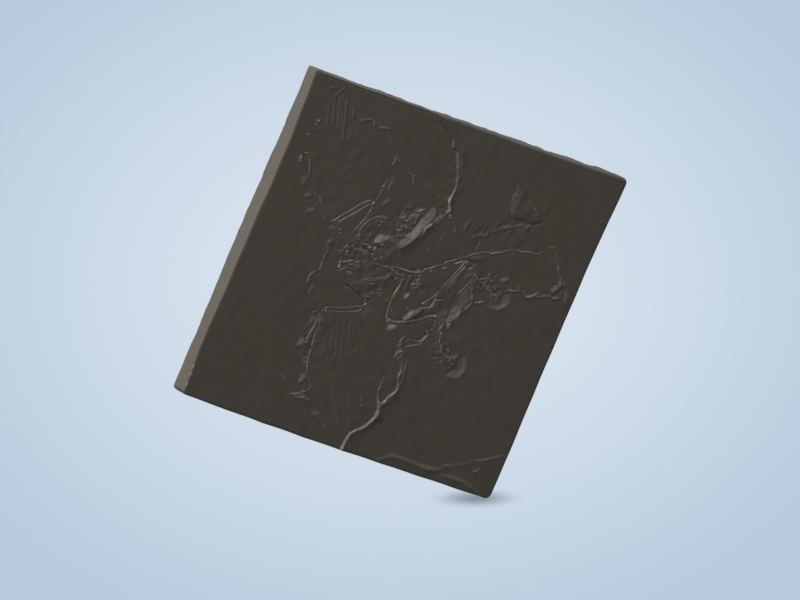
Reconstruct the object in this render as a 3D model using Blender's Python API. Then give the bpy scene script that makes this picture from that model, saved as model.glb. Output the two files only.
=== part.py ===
# A fossil slab that lies face up: skeleton, feather prints, cracks and ledges in one piece of stone.
# Places on the face are (across, down) in millimetres from its top left corner.
import math

import bmesh
import bpy
from mathutils import Vector

MM = 0.001
SLAB_ACROSS = 460.0
SLAB_DOWN = 380.0
SLAB_THICKNESS = 18.0
RELIEF = 1.4
FACE_LEVEL = SLAB_THICKNESS - RELIEF

EDGE_CHAMFER = 0.9
EDGE_WANDER = 0.9
EDGE_STEP = 15.0
CORNER_RADII = (3.0, 4.0, 7.0, 6.0)
CORNER_STEPS = 4

TUBE_RESOLUTION = 2
SINK_SHARE = 0.12
END_TAPER = 0.45
LEDGE_SINK = 0.3
LEDGE_END = -0.12
LUMP_ROUND = 8
LUMP_RINGS = 4
WELD = 0.00001
STONE_COLOUR = (0.052, 0.047, 0.038, 1.0)
STONE_ROUGHNESS = 0.85

# Bones that stand up from the stone: width, height and the line they follow.
BONES = {
    "upper_ulna": (2.8, 1.0, ((101.5, 147.5), (110, 137.5), (120.8, 126.7), (131.7, 117), (140, 113.3))),
    "upper_radius": (1.9, 0.75, ((108, 147.5), (120, 135.4), (131.7, 124.6), (139.6, 117.5))),
    "upper_humerus": (2.1, 0.75, ((144.3, 119), (143.8, 125.8), (138.8, 138.8), (133.3, 150.4))),
    "lower_radius": (1.8, 0.8, ((186.7, 224.2), (171.7, 229.6), (163.3, 233), (153.3, 235.4), (140.8, 239))),
    "lower_ulna": (1.8, 0.8, ((187, 228.3), (181.7, 231.7), (163.3, 237.5), (146.7, 241.3))),
    "first_finger": (1.8, 0.7, ((139.2, 240.8), (135.4, 246.7), (136.3, 255), (133.8, 268.3),
                                (133.3, 276.7), (131.3, 280.6))),
    "second_finger": (1.7, 0.65, ((136.7, 251.7), (141.4, 254), (142, 262.5), (140.8, 271.7),
                                  (142, 275.8), (142.5, 284), (145, 293.8), (146.3, 301.3),
                                  (151.9, 311.3), (151.3, 316.4))),
    "second_finger_branch": (1.5, 0.55, ((145, 294), (141.3, 297.5), (138, 299.4))),
    "thumb": (1.5, 0.5, ((133, 251.7), (132.5, 256.7), (132, 260))),
    "thumb_bar": (1.6, 0.5, ((125, 248.3), (130, 246.3))),
    "upper_hand_first": (1.6, 0.6, ((61.3, 125), (67.5, 128.8), (71.3, 128.5), (77.5, 135))),
    "upper_hand_second": (1.6, 0.6, ((67, 137.5), (73.8, 140.6), (78.8, 145))),
    "upper_hand_third": (1.6, 0.6, ((86, 139), (87.5, 147), (91.3, 148.8))),
    "upper_wrist": (1.8, 0.7, ((93.8, 142.5), (97.5, 147.5), (98.8, 151))),
    "shoulder_bar": (1.9, 0.6, ((145.5, 96), (147.5, 91), (149, 86))),
    "femur": (3.0, 1.15, ((224.6, 183.3), (222, 197.5), (221.7, 211.7), (223.8, 223.3), (227, 230))),
    "tibia": (2.8, 1.05, ((230, 230), (243.3, 227), (258.3, 222.5), (271.7, 215), (287, 208.8))),
    "far_tibia": (2.4, 0.95, ((297.5, 143), (292.5, 153.3), (285, 170), (276.7, 185.8), (264.6, 200))),
    "ankle_hook": (2.5, 0.85, ((278.8, 190.8), (276.7, 200.8), (273.3, 203.8), (268.3, 205.7))),
    "ankle_bar": (1.8, 0.6, ((282.5, 192.5), (288.3, 190.8))),
    "knee_bar": (1.8, 0.6, ((285, 148), (291.7, 144.2))),
    "shin_bar": (1.8, 0.6, ((304.5, 149), (309, 145))),
    "foot_bar": (2.0, 0.7, ((302, 216), (300.8, 222.5))),
    "foot_line": (1.8, 0.7, ((305, 227.5), (307, 230.8), (309.2, 235))),
    "foot_toe": (1.9, 0.7, ((317, 234.6), (323.3, 239.6), (327.5, 241.3))),
    "foot_toe_bars": (1.8, 0.6, ((325, 247.4), (333, 246.4))),
    "foot_band": (3.0, 0.6, ((311, 239), (318, 246.7))),
    "foot_band_lower": (2.0, 0.6, ((307, 252.5), (315, 252.5))),
    "far_foot_bar": (2.0, 0.7, ((324.6, 155), (334.2, 151.3))),
    "far_foot_chain": (2.0, 0.7, ((335, 160.4), (340, 160.8), (346.7, 163.8), (353.3, 165.4), (357, 169))),
    "far_foot_line": (1.5, 0.5, ((340.8, 147), (347.5, 145))),
    "spine": (2.2, 0.85, ((180, 175.8), (195, 175), (210, 172), (228.3, 171.3), (242.5, 168.8),
                          (253.3, 161.3), (269.2, 152.5), (284.2, 140.8), (300.8, 131.3))),
    "tail": (2.0, 0.8, ((300.8, 131.3), (311, 127), (324, 124.5), (338, 119.4), (345.3, 115.3),
                        (363, 111.2), (377, 108.8), (392, 104.6))),
    "tail_side": (1.4, 0.5, ((319.4, 123), (330, 118.8))),
    "trunk_line": (1.6, 0.55, ((203.3, 176.7), (215, 178.3), (224.2, 179.6))),
    "pelvis_streak": (2.0, 0.55, ((238.3, 185), (249.2, 181.7))),
    "jaw_upper": (1.6, 0.55, ((138.3, 186.3), (143.3, 184.2), (148.3, 181.7))),
    "jaw_lower": (1.5, 0.5, ((142.5, 187.5), (151.7, 185.8), (158.3, 184.2))),
    "jaw_back": (1.5, 0.5, ((153.3, 181.3), (157.5, 179.6))),
    "cheek": (1.6, 0.5, ((163, 180.4), (164.2, 178), (168.3, 176))),
    "neck_line": (1.3, 0.4, ((147, 160.4), (153.3, 160.8), (160, 159.2))),
    "loose_bar": (3.0, 0.7, ((288.5, 231.5), (285, 237.5), (281.5, 241.5))),
    "loose_rib": (1.8, 0.6, ((258.3, 241.7), (256.7, 244.2), (255, 248.3))),
    "loose_line": (1.6, 0.5, ((263.3, 252.5), (270, 249.2), (281.7, 244.2))),
    "loose_line_upper": (1.5, 0.5, ((271.7, 241.3), (276.7, 240.4), (282, 239.8))),
}

# Rounded folds of the stone itself: leaf shape, tail outline, ribs and the broad lines of feathers.
FOLDS = {
    "leaf_left": (2.6, 0.7, ((313, 162.5), (308.8, 173.3), (305, 178.3), (305.4, 190), (305, 207))),
    "leaf_right": (2.2, 0.55, ((313.8, 159.6), (321.7, 170), (327.5, 181.7), (322.5, 193.3), (314.2, 196.3))),
    "leaf_line": (1.8, 0.45, ((330, 180.8), (336.7, 178.8), (342.5, 176.5))),
    "tail_outline": (2.0, 0.5, ((290, 116), (297, 110.6), (307.7, 107.9), (319.4, 98.2), (337, 88.8),
                                (351.8, 83.3), (364.5, 81))),
    "tail_tip": (2.4, 0.55, ((396.5, 97), (403, 95.6), (417, 110), (433.5, 130))),
    "tail_lower": (1.8, 0.45, ((368.8, 155.9), (386.5, 152.4), (400.6, 154.7), (408.8, 150), (425.3, 147.6),
                               (440.6, 144.7))),
    "left_fold": (3.2, 0.7, ((110, 165.8), (107.3, 173), (110.6, 180), (110.4, 196), (105, 206),
                             (101.2, 213.5), (102, 221))),
    "rib_first": (2.2, 0.5, ((161.7, 201.7), (171.7, 197.5), (190, 190.8), (200, 187))),
    "rib_second": (1.8, 0.4, ((182.5, 200), (190, 198), (200, 194.5))),
    "rib_third": (1.8, 0.4, ((183.3, 211.3), (195, 207.5), (210, 205))),
    "rock_first": (2.2, 0.6, ((204.5, 111), (210, 105.8), (215, 103))),
    "rock_second": (2.2, 0.6, ((184.2, 123), (190, 119.6), (201.7, 119))),
    "rock_third": (2.2, 0.5, ((188.8, 132), (195, 130.6), (202, 130.8))),
    "rock_fourth": (2.0, 0.5, ((209, 117.5), (207.5, 125), (206.7, 133.3))),
    "rock_crest": (1.8, 0.5, ((183.3, 145), (190, 142.5), (197.5, 139), (205.8, 138))),
    "claw_mark": (2.0, 0.55, ((161.3, 321.3), (165, 327.3), (157.5, 332.5), (141.3, 340))),
    "claw_mark_foot": (1.6, 0.45, ((141.3, 341), (152.5, 341.2), (170, 340.4))),
    "left_edge_fold": (2.6, 0.5, ((36, 91), (41.3, 98.5), (46, 113.8), (47.5, 119.5))),
    "arc": (1.8, 0.4, ((252, 106), (262, 110), (264, 117))),
    "feather_a": (4.0, 0.32, ((43, 8.5), (39.5, 14.5), (33, 22.6))),
    "feather_b": (4.0, 0.32, ((42.2, 16.7), (48.5, 34), (56.7, 53))),
    "feather_c": (4.0, 0.32, ((52.2, 19), (64, 46.7), (69.5, 65))),
    "feather_d": (4.0, 0.3, ((34, 24), (45, 44), (49.5, 57))),
    "feather_e": (4.0, 0.3, ((66.7, 28.5), (76.7, 61))),
    "feather_f": (4.5, 0.3, ((161, 254), (167, 287))),
    "feather_g": (4.5, 0.3, ((169.2, 255), (176, 278))),
    "feather_h": (4.0, 0.3, ((171.7, 241.7), (184, 264))),
    "feather_i": (4.0, 0.3, ((180, 241), (192, 260))),
    "feather_j": (4.0, 0.3, ((187.5, 313.8), (198.8, 327.5), (217.5, 345))),
    "feather_k": (4.0, 0.3, ((215, 317.5), (226.3, 333.8))),
}

# Lines sunk into the stone: width, depth and line.
GROOVES = {
    "lower_humerus": (2.6, 0.9, ((151.7, 209.6), (158.3, 210), (173.3, 214.2), (185.8, 219.2))),
    "neck_groove": (2.2, 0.8, ((148.3, 161.9), (156.7, 165), (168.3, 167.4))),
    "trunk_groove": (2.0, 0.6, ((215, 174.6), (223.3, 175.8), (231, 176.9))),
    "trunk_groove_lower": (1.8, 0.5, ((200.8, 181), (225, 182.2), (238.3, 183))),
    "foot_groove": (2.4, 0.8, ((289.2, 212.5), (294.2, 214), (297.5, 219.2))),
    "toe_groove": (1.8, 0.6, ((314, 237.4), (323.3, 236.6), (330, 240.4))),
    "far_foot_groove": (1.8, 0.6, ((326.7, 159.2), (332, 163), (347, 168.8), (357, 171.6))),
    "crack_top": (1.8, 0.7, ((177, 6.5), (187.3, 9.6), (200.9, 15.5), (210.9, 21.5))),
    "crack_shoulder": (1.8, 0.6, ((217.7, 32.4), (224.5, 33))),
    "crack_foot": (1.6, 0.7, ((252, 106.4), (257, 106.9))),
    "leaf_gap": (2.2, 0.5, ((303, 213), (307.5, 211.5), (312.6, 219))),
    "loose_groove": (1.4, 0.6, ((275, 242.9), (280.4, 243.4))),
}

# Steps: wall width, fall behind it, height, the side the wall faces (across, down), and the crest.
LEDGES = {
    "crack_lower": (3.6, 13.0, 1.05, (-1.0, 0.0), (
        (240.2, 377), (240.8, 371.7), (242, 363.9), (243.1, 358.9), (248.6, 355), (254.2, 351),
        (258.6, 346.7), (262, 340.6), (264.7, 333.9), (265.3, 328.3), (263.6, 321.7), (262, 317.8),
        (258.6, 311.7), (255.8, 306.8))),
    "crack_branch": (2.6, 9.0, 0.85, (-0.9, -0.44), (
        (264, 318), (268.6, 315.6), (270.8, 311.7), (273.1, 307.2), (277, 302.8), (278.6, 298.9),
        (277.5, 293.9), (275.3, 289.4), (273.1, 285), (274.2, 279.4), (274, 275), (272, 271.7),
        (270.3, 266.2))),
    "crack_strand": (2.0, 6.0, 0.5, (-1.0, 0.0), (
        (281, 298.7), (282.1, 290.6), (280.4, 282.8), (278.8, 277.2), (277.7, 269.4), (276.6, 264))),
    "crack_right": (2.2, 6.0, 0.45, (-1.0, 0.0), (
        (266, 345), (268.8, 335), (270.8, 328.3), (270.6, 318.4))),
    "crack_upper": (3.4, 12.0, 1.0, (-0.94, 0.34), (
        (227, 33.5), (231.4, 39.6), (233.2, 45), (237.8, 50.5), (240.4, 57.8), (243.2, 66), (243.9, 71.5),
        (243.2, 77.8), (241.6, 84.5))),
    "crack_wedge": (3.0, 7.0, 0.7, (-1.0, 0.0), ((243, 86.5), (246.6, 93), (246, 98.5), (244.4, 103.5))),
    "crack_corner": (2.6, 3.6, 0.5, (0.55, 0.83), ((176, 4.9), (187, 8), (195, 10.9), (206, 17.3), (212, 22))),
    "crack_right_thin": (2.0, 6.0, 0.7, (-0.45, -0.89), (
        (378, 363.6), (391.3, 359), (402.5, 353.6), (417.5, 346.2), (430, 341.7), (440, 336.6),
        (449, 332), (455, 329.6))),
    "riser": (9.0, 7.0, 1.4, (-0.9, -0.44), (
        (226.4, 97), (230.2, 102.5), (230.6, 109), (228.5, 117.5), (224.3, 125), (221, 130.8),
        (217.7, 138.3), (212.7, 144), (206, 151))),
    "riser_left": (6.0, 12.0, 0.5, (-0.5, -0.87), ((182, 149), (190, 146.6), (199, 143.6), (207, 142))),
    "second_step": (6.5, 5.0, 0.9, (-0.9, -0.44), (
        (245, 101), (243.8, 107), (238.8, 112), (234, 116.6), (228, 123.5), (223.5, 131), (221, 137))),
    "blob": (7.5, 5.0, 1.0, (-0.8, -0.6), ((184, 141.5), (181.5, 147), (175, 152), (168, 156))),
    "slope": (10.0, 5.0, 1.2, (-0.87, -0.5), (
        (267, 202), (265.4, 206), (262.5, 210), (258.8, 216), (253, 221.5), (246, 224))),
    "knee_wedge": (4.5, 4.0, 0.6, (-0.5, -0.87), ((246.5, 232.6), (243, 236.2), (238, 239.4), (231.5, 242))),
    "leaf_foot": (7.0, 5.0, 0.9, (-0.9, -0.44), ((318.6, 192), (317.6, 199), (312.5, 206.5), (307, 211))),
    "bottom_step": (4.5, 4.8, 0.7, (0.0, -1.0), (
        (293, 373.4), (300, 372.8), (308.8, 369.6), (320, 369), (335, 370.3), (350, 370), (362.5, 370.9),
        (374, 368.6), (383, 365.6))),
    "bottom_step_right": (4.5, 4.4, 0.55, (0.0, -1.0), (
        (378, 372.6), (390, 372), (405, 372), (417.5, 372), (427, 373), (438, 373.6))),
    "bowl_lip_upper": (5.0, 4.0, 0.5, (-0.5, -0.87), (
        (374, 173.5), (371.7, 178), (366.7, 181.4), (360, 182.6), (351, 181.6))),
    "plate_left": (4.0, 20.0, 0.8, (-1.0, 0.1), (
        (326, 51), (325.4, 58.6), (328.2, 65), (329.5, 71.4), (330, 78.5))),
}

# Knobs and swellings: place, half sizes along and across, height, and turn in degrees.
LUMPS = {
    "upper_elbow": (143.5, 114.8, 2.6, 2.4, 1.1, 0),
    "lower_elbow": (189.6, 222.5, 2.3, 2.2, 1.0, 0),
    "lower_wrist": (141.2, 240.4, 3.0, 2.4, 0.9, 30),
    "knee": (228.2, 230.6, 3.0, 2.4, 1.25, 20),
    "ankle": (287.6, 208.6, 2.4, 2.2, 1.05, 0),
    "far_knee": (297.8, 142.6, 2.2, 2.0, 1.0, 0),
    "ankle_knob": (304.6, 224.8, 1.7, 1.6, 0.8, 0),
    "toe_knob": (312, 235.7, 1.7, 1.5, 0.8, 0),
    "foot_knob": (320.8, 254.2, 1.6, 1.4, 0.6, 0),
    "pelvis_front": (241.7, 169.2, 3.0, 2.4, 1.0, 0),
    "pelvis_middle": (245.4, 172.9, 2.8, 2.2, 0.9, 0),
    "pelvis_back": (244.2, 178.6, 3.2, 2.3, 0.9, 60),
    "belly": (239, 198.5, 4.2, 2.8, 0.8, 65),
    "snout": (134.4, 192.6, 3.4, 2.0, 0.95, -70),
    "snout_upper": (134.2, 186.6, 1.9, 1.6, 0.7, 0),
    "chin": (152.4, 196.4, 4.6, 1.8, 0.5, 0),
    "skull_back": (151, 167.6, 2.4, 1.5, 0.6, 30),
    "skull_top": (158.3, 166.3, 1.8, 1.4, 0.6, 0),
    "shoulder_a": (163.3, 161.7, 1.8, 1.4, 0.6, 0),
    "shoulder_b": (171.3, 162, 2.2, 1.5, 0.7, 0),
    "shoulder_c": (177.5, 171, 2.2, 1.6, 0.7, 0),
    "shoulder_d": (184.6, 167.3, 2.0, 1.5, 0.7, 0),
    "oval": (309.5, 135, 9.0, 3.6, 0.55, 18),
    "loose_patch": (259, 257.5, 5.0, 8.0, 0.55, 0),
    "claw_plate_first": (128, 282.6, 6.6, 5.4, 0.4, 20),
    "claw_plate_second": (149.4, 319.6, 3.8, 5.2, 0.4, 0),
    "claw_plate_upper": (55.4, 131.8, 5.0, 2.5, 0.4, 20),
    "claw_plate_lower": (66.4, 145.6, 6.4, 3.2, 0.4, 35),
    "tail_slope": (429, 137, 7.5, 4.0, 0.5, -40),
    "tail_blob": (445.5, 142.5, 4.6, 2.6, 0.5, -50),
    "plate_bit": (354.6, 62.8, 2.2, 1.5, 0.6, 0),
    "stone_patch_a": (158.6, 111.6, 5.4, 5.4, 0.45, 0),
    "stone_patch_b": (155, 87, 4.0, 8.0, 0.4, 0),
    "stone_patch_c": (109.6, 226, 3.4, 8.6, 0.45, -20),
    "rock_a": (240.4, 43.6, 4.4, 4.0, 0.7, 40),
    "rock_b": (216.6, 112.6, 4.0, 3.0, 0.5, 60),
    "rock_c": (198, 113.6, 4.6, 3.2, 0.5, 30),
    "rock_d": (198.4, 125.8, 5.0, 3.0, 0.45, 10),
    "light_plate": (355.6, 148, 5.6, 3.0, 0.45, 15),
    "leaf_patch": (297, 202, 5.4, 2.8, 0.5, 25),
}

# Rounded hollows: place, half sizes, depth and turn.
HOLLOWS = {
    "upper_bowl": (362.4, 170.6, 11.0, 7.6, 1.2, 35),
    "lower_bowl": (343.4, 252.6, 12.5, 10.5, 1.3, -25),
    "tail_hollow": (306, 141, 6.4, 1.8, 0.6, -3),
    "neck_hollow": (152.6, 150, 4.4, 5.6, 0.6, 0),
    "blob_hole": (175.4, 159.4, 2.0, 1.2, 0.8, 0),
    "heel_pit": (334.6, 251.8, 1.5, 1.3, 0.8, 0),
    "heel_pit_upper": (328.3, 249.8, 1.5, 1.2, 0.7, 0),
    "toe_pit": (331.7, 155.6, 1.8, 1.2, 0.7, 0),
    "crack_pit": (247.6, 100.2, 1.6, 1.6, 0.8, 0),
    "low_pit": (237.8, 326, 1.6, 1.3, 0.7, 0),
}

# Bones of the neck, one bead each, and the ring of beads round the eye.
NECK = (
    (169, 125.8), (165, 127), (160.4, 127), (155.8, 128.8), (151.7, 130.8), (148.3, 133), (146.3, 135.8),
    (144.2, 139), (141.7, 142.4), (141.5, 146), (142, 150), (142.2, 154), (143.8, 157.5), (147, 160.2),
)
NECK_BEAD = (1.9, 1.35, 0.85)
EYE_CENTRE = (133.8, 173.6)
EYE_RING = 4.1
EYE_BEADS = 7
EYE_BEAD = (1.5, 1.2, 0.7)

# A low plate with three sides, its edges sloped.
PLATE_OUTLINE = ((329, 54), (357.5, 60.5), (372.5, 73.5), (367, 78.5), (341, 81.5), (330.5, 80))
PLATE_SLOPE = 2.0
PLATE_HEIGHT = 0.8


def clear_scene():
    for thing in list(bpy.data.objects):
        bpy.data.objects.remove(thing, do_unlink=True)


def helper_collection(name):
    group = bpy.data.collections.new(name)
    bpy.context.scene.collection.children.link(group)
    return group


def place(across, down, above_face=0.0):
    """A point of the face, in metres in the slab's own frame."""
    return Vector((
        (across - SLAB_ACROSS / 2) * MM,
        (SLAB_DOWN / 2 - down) * MM,
        (FACE_LEVEL + above_face) * MM,
    ))


def keep(name, mesh, group):
    thing = bpy.data.objects.new(name, mesh)
    group.objects.link(thing)
    if group is not bpy.context.scene.collection:
        thing.hide_render = True
        thing.display_type = "WIRE"
    return thing


def mesh_of_curve(name, curve, height_scale, level, group):
    """The swept curve as a mesh, flattened upwards and set at its level."""
    sweep = bpy.data.objects.new(name + "_line", curve)
    bpy.context.scene.collection.objects.link(sweep)
    graph = bpy.context.evaluated_depsgraph_get()
    mesh = bpy.data.meshes.new_from_object(sweep.evaluated_get(graph))
    bpy.data.objects.remove(sweep, do_unlink=True)
    work = bmesh.new()
    work.from_mesh(mesh)
    bmesh.ops.remove_doubles(work, verts=work.verts, dist=WELD)
    for vert in work.verts:
        vert.co.z = vert.co.z * height_scale + level
    bmesh.ops.recalc_face_normals(work, faces=work.faces)
    work.to_mesh(mesh)
    work.free()
    mesh.name = name
    return keep(name, mesh, group)


def tube(name, width, rise, centre_level, path, group):
    """A flattened round bar along a line of the face, thinner at its ends."""
    curve = bpy.data.curves.new(name, "CURVE")
    curve.dimensions = "3D"
    curve.bevel_depth = width / 2 * MM
    curve.bevel_resolution = TUBE_RESOLUTION
    curve.use_fill_caps = True
    spline = curve.splines.new("POLY")
    spline.points.add(len(path) - 1)
    for number, (across, down) in enumerate(path):
        spot = place(across, down)
        spline.points[number].co = (spot.x, spot.y, 0.0, 1.0)
        at_end = number in (0, len(path) - 1)
        spline.points[number].radius = END_TAPER if at_end else 1.0
    level = (FACE_LEVEL + centre_level) * MM
    return mesh_of_curve(name, curve, rise / (width / 2), level, group)


def add_ridges(rows, group):
    for name, (width, height, path) in rows.items():
        sink = height * SINK_SHARE
        tube(name, width, height + sink, -sink, path, group)


def add_grooves(rows, group):
    for name, (width, depth, path) in rows.items():
        lift = depth * SINK_SHARE
        tube(name, width, depth + lift, lift, path, group)


def ball(name, across, down, half_sizes, centre_level, turn, group):
    """A flattened ball centred a little off the face."""
    along, aside, rise = half_sizes
    work = bmesh.new()
    bmesh.ops.create_uvsphere(work, u_segments=LUMP_ROUND, v_segments=LUMP_RINGS, radius=1.0)
    angle = math.radians(turn)
    centre = place(across, down, centre_level)
    for vert in work.verts:
        forward = vert.co.x * along
        sideways = vert.co.y * aside
        vert.co = Vector((
            forward * math.cos(angle) - sideways * math.sin(angle),
            forward * math.sin(angle) + sideways * math.cos(angle),
            vert.co.z * rise,
        )) * MM + centre
    mesh = bpy.data.meshes.new(name)
    work.to_mesh(mesh)
    work.free()
    return keep(name, mesh, group)


def add_lumps(rows, group):
    for name, (across, down, along, aside, height, turn) in rows.items():
        sink = height * SINK_SHARE
        ball(name, across, down, (along, aside, height + sink), -sink, turn, group)


def add_hollows(rows, group):
    for name, (across, down, along, aside, depth, turn) in rows.items():
        lift = depth * SINK_SHARE
        ball(name, across, down, (along, aside, depth + lift), lift, turn, group)


def add_neck(group):
    """One bead for each bone of the neck, turned across the line of the neck."""
    along, aside, height = NECK_BEAD
    sink = height * SINK_SHARE
    for number, (across, down) in enumerate(NECK):
        before = NECK[max(number - 1, 0)]
        after = NECK[min(number + 1, len(NECK) - 1)]
        turn = math.degrees(math.atan2(before[1] - after[1], after[0] - before[0])) + 90
        ball(f"neck_{number:02d}", across, down, (along, aside, height + sink), -sink, turn, group)


def add_eye(group):
    along, aside, height = EYE_BEAD
    sink = height * SINK_SHARE
    for number in range(EYE_BEADS):
        angle = math.tau * number / EYE_BEADS
        across = EYE_CENTRE[0] + EYE_RING * math.cos(angle)
        down = EYE_CENTRE[1] + EYE_RING * math.sin(angle)
        turn = 90 - math.degrees(angle)
        ball(f"eye_{number}", across, down, (along, aside, height + sink), -sink, turn, group)


def ledge(name, wall, fall, height, facing, crest, group):
    """A step: a wall that climbs to the crest, and a back that falls away to the face."""
    work = bmesh.new()
    last = len(crest) - 1
    ridge = []
    for number, (across, down) in enumerate(crest):
        level = LEDGE_END if number in (0, last) else height
        ridge.append(work.verts.new(place(across, down, level)))
    line = [work.edges.new(pair) for pair in zip(ridge, ridge[1:])]
    towards = Vector((facing[0], -facing[1], 0.0)).normalized()
    rows = []
    for offset in (towards * wall * MM, towards * -fall * MM):
        made = bmesh.ops.extrude_edge_only(work, edges=line)["geom"]
        moved = [part for part in made if isinstance(part, bmesh.types.BMVert)]
        rows.append([
            part for part in made
            if isinstance(part, bmesh.types.BMEdge) and all(end in moved for end in part.verts)
        ])
        for vert in moved:
            vert.co += offset
            vert.co.z = (FACE_LEVEL - LEDGE_SINK) * MM
    bmesh.ops.bridge_loops(work, edges=rows[0] + rows[1])
    bmesh.ops.holes_fill(work, edges=work.edges, sides=0)
    bmesh.ops.triangulate(work, faces=work.faces)
    bmesh.ops.recalc_face_normals(work, faces=work.faces)
    mesh = bpy.data.meshes.new(name)
    work.to_mesh(mesh)
    work.free()
    return keep(name, mesh, group)


def add_ledges(group):
    for name, (wall, fall, height, facing, crest) in LEDGES.items():
        ledge(name, wall, fall, height, facing, crest, group)


def flat_curve(name, outline):
    curve = bpy.data.curves.new(name, "CURVE")
    curve.dimensions = "2D"
    curve.fill_mode = "BOTH"
    curve.bevel_resolution = 0
    spline = curve.splines.new("POLY")
    spline.points.add(len(outline) - 1)
    for point, (across, down) in zip(spline.points, outline):
        spot = place(across, down)
        point.co = (spot.x, spot.y, 0.0, 1.0)
    spline.use_cyclic_u = True
    return curve


def add_plate(group):
    curve = flat_curve("three_sided_plate", PLATE_OUTLINE)
    curve.bevel_depth = PLATE_SLOPE * MM
    curve.offset = -PLATE_SLOPE * MM
    sink = PLATE_HEIGHT * SINK_SHARE
    scale = (PLATE_HEIGHT + sink) / PLATE_SLOPE
    mesh_of_curve("three_sided_plate", curve, scale, (FACE_LEVEL - sink) * MM, group)


def wander(distance, side):
    """How far the broken edge lies inside the straight one, from none to the whole wander."""
    wave = math.sin(distance * 0.11 + side * 1.7) + math.sin(distance * 0.043 + side * 2.9)
    return EDGE_WANDER * (2 + wave) / 4


def slab_outline():
    """The broken outline: four edges that wander a little, with rounded corners."""
    corners = ((0, 0), (SLAB_ACROSS, 0), (SLAB_ACROSS, SLAB_DOWN), (0, SLAB_DOWN))
    points = []
    for side in range(4):
        start = Vector(corners[side])
        end = Vector(corners[(side + 1) % 4])
        along = (end - start).normalized()
        inward = Vector((-along.y, along.x))
        radius = CORNER_RADII[side]
        next_radius = CORNER_RADII[(side + 1) % 4]
        centre = start + (along + inward) * radius
        for step in range(1, CORNER_STEPS):
            angle = math.pi / 2 * step / CORNER_STEPS
            points.append(centre - along * radius * math.cos(angle) - inward * radius * math.sin(angle))
        length = (end - start).length - radius - next_radius
        count = round(length / EDGE_STEP)
        for step in range(count + 1):
            distance = length * step / count
            depth = 0.0 if step in (0, count) else wander(distance, side)
            points.append(start + along * (radius + distance) + inward * depth)
    return [tuple(point) for point in points]


def stone_body():
    curve = flat_curve("slab", slab_outline())
    curve.bevel_depth = EDGE_CHAMFER * MM
    curve.offset = -EDGE_CHAMFER * MM
    curve.extrude = (FACE_LEVEL / 2 - EDGE_CHAMFER) * MM
    body = mesh_of_curve("slab", curve, 1.0, FACE_LEVEL / 2 * MM, bpy.context.scene.collection)
    return body


def stone_material():
    material = bpy.data.materials.new("slab_stone")
    material.use_nodes = True
    shader = material.node_tree.nodes["Principled BSDF"]
    shader.inputs["Base Color"].default_value = STONE_COLOUR
    shader.inputs["Roughness"].default_value = STONE_ROUGHNESS
    return material


def fuse(body, group, operation):
    modifier = body.modifiers.new(operation.title(), "BOOLEAN")
    modifier.operation = operation
    modifier.operand_type = "COLLECTION"
    modifier.collection = group
    modifier.solver = "EXACT"


def main():
    clear_scene()
    raised = helper_collection("raised")
    sunk = helper_collection("sunk")
    add_ledges(raised)
    add_plate(raised)
    add_ridges(FOLDS, raised)
    add_ridges(BONES, raised)
    add_lumps(LUMPS, raised)
    add_neck(raised)
    add_eye(raised)
    add_grooves(GROOVES, sunk)
    add_hollows(HOLLOWS, sunk)
    body = stone_body()
    body.data.materials.append(stone_material())
    fuse(body, raised, "UNION")
    fuse(body, sunk, "DIFFERENCE")


main()
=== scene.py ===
import math

import bmesh
import bpy
import numpy as np
from mathutils import Matrix, Vector


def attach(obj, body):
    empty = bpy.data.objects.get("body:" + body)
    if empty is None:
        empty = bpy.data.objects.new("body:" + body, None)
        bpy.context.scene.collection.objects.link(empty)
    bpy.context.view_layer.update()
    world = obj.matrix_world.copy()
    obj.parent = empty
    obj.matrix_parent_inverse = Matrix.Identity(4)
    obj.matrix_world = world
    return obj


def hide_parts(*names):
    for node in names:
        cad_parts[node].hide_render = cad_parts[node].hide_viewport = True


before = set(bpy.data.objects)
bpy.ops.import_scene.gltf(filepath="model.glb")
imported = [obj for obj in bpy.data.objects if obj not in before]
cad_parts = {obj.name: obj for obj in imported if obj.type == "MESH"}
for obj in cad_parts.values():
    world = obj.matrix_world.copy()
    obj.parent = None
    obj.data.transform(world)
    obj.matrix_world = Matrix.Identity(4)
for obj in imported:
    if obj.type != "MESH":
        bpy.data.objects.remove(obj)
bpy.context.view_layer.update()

mm = 0.001

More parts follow.
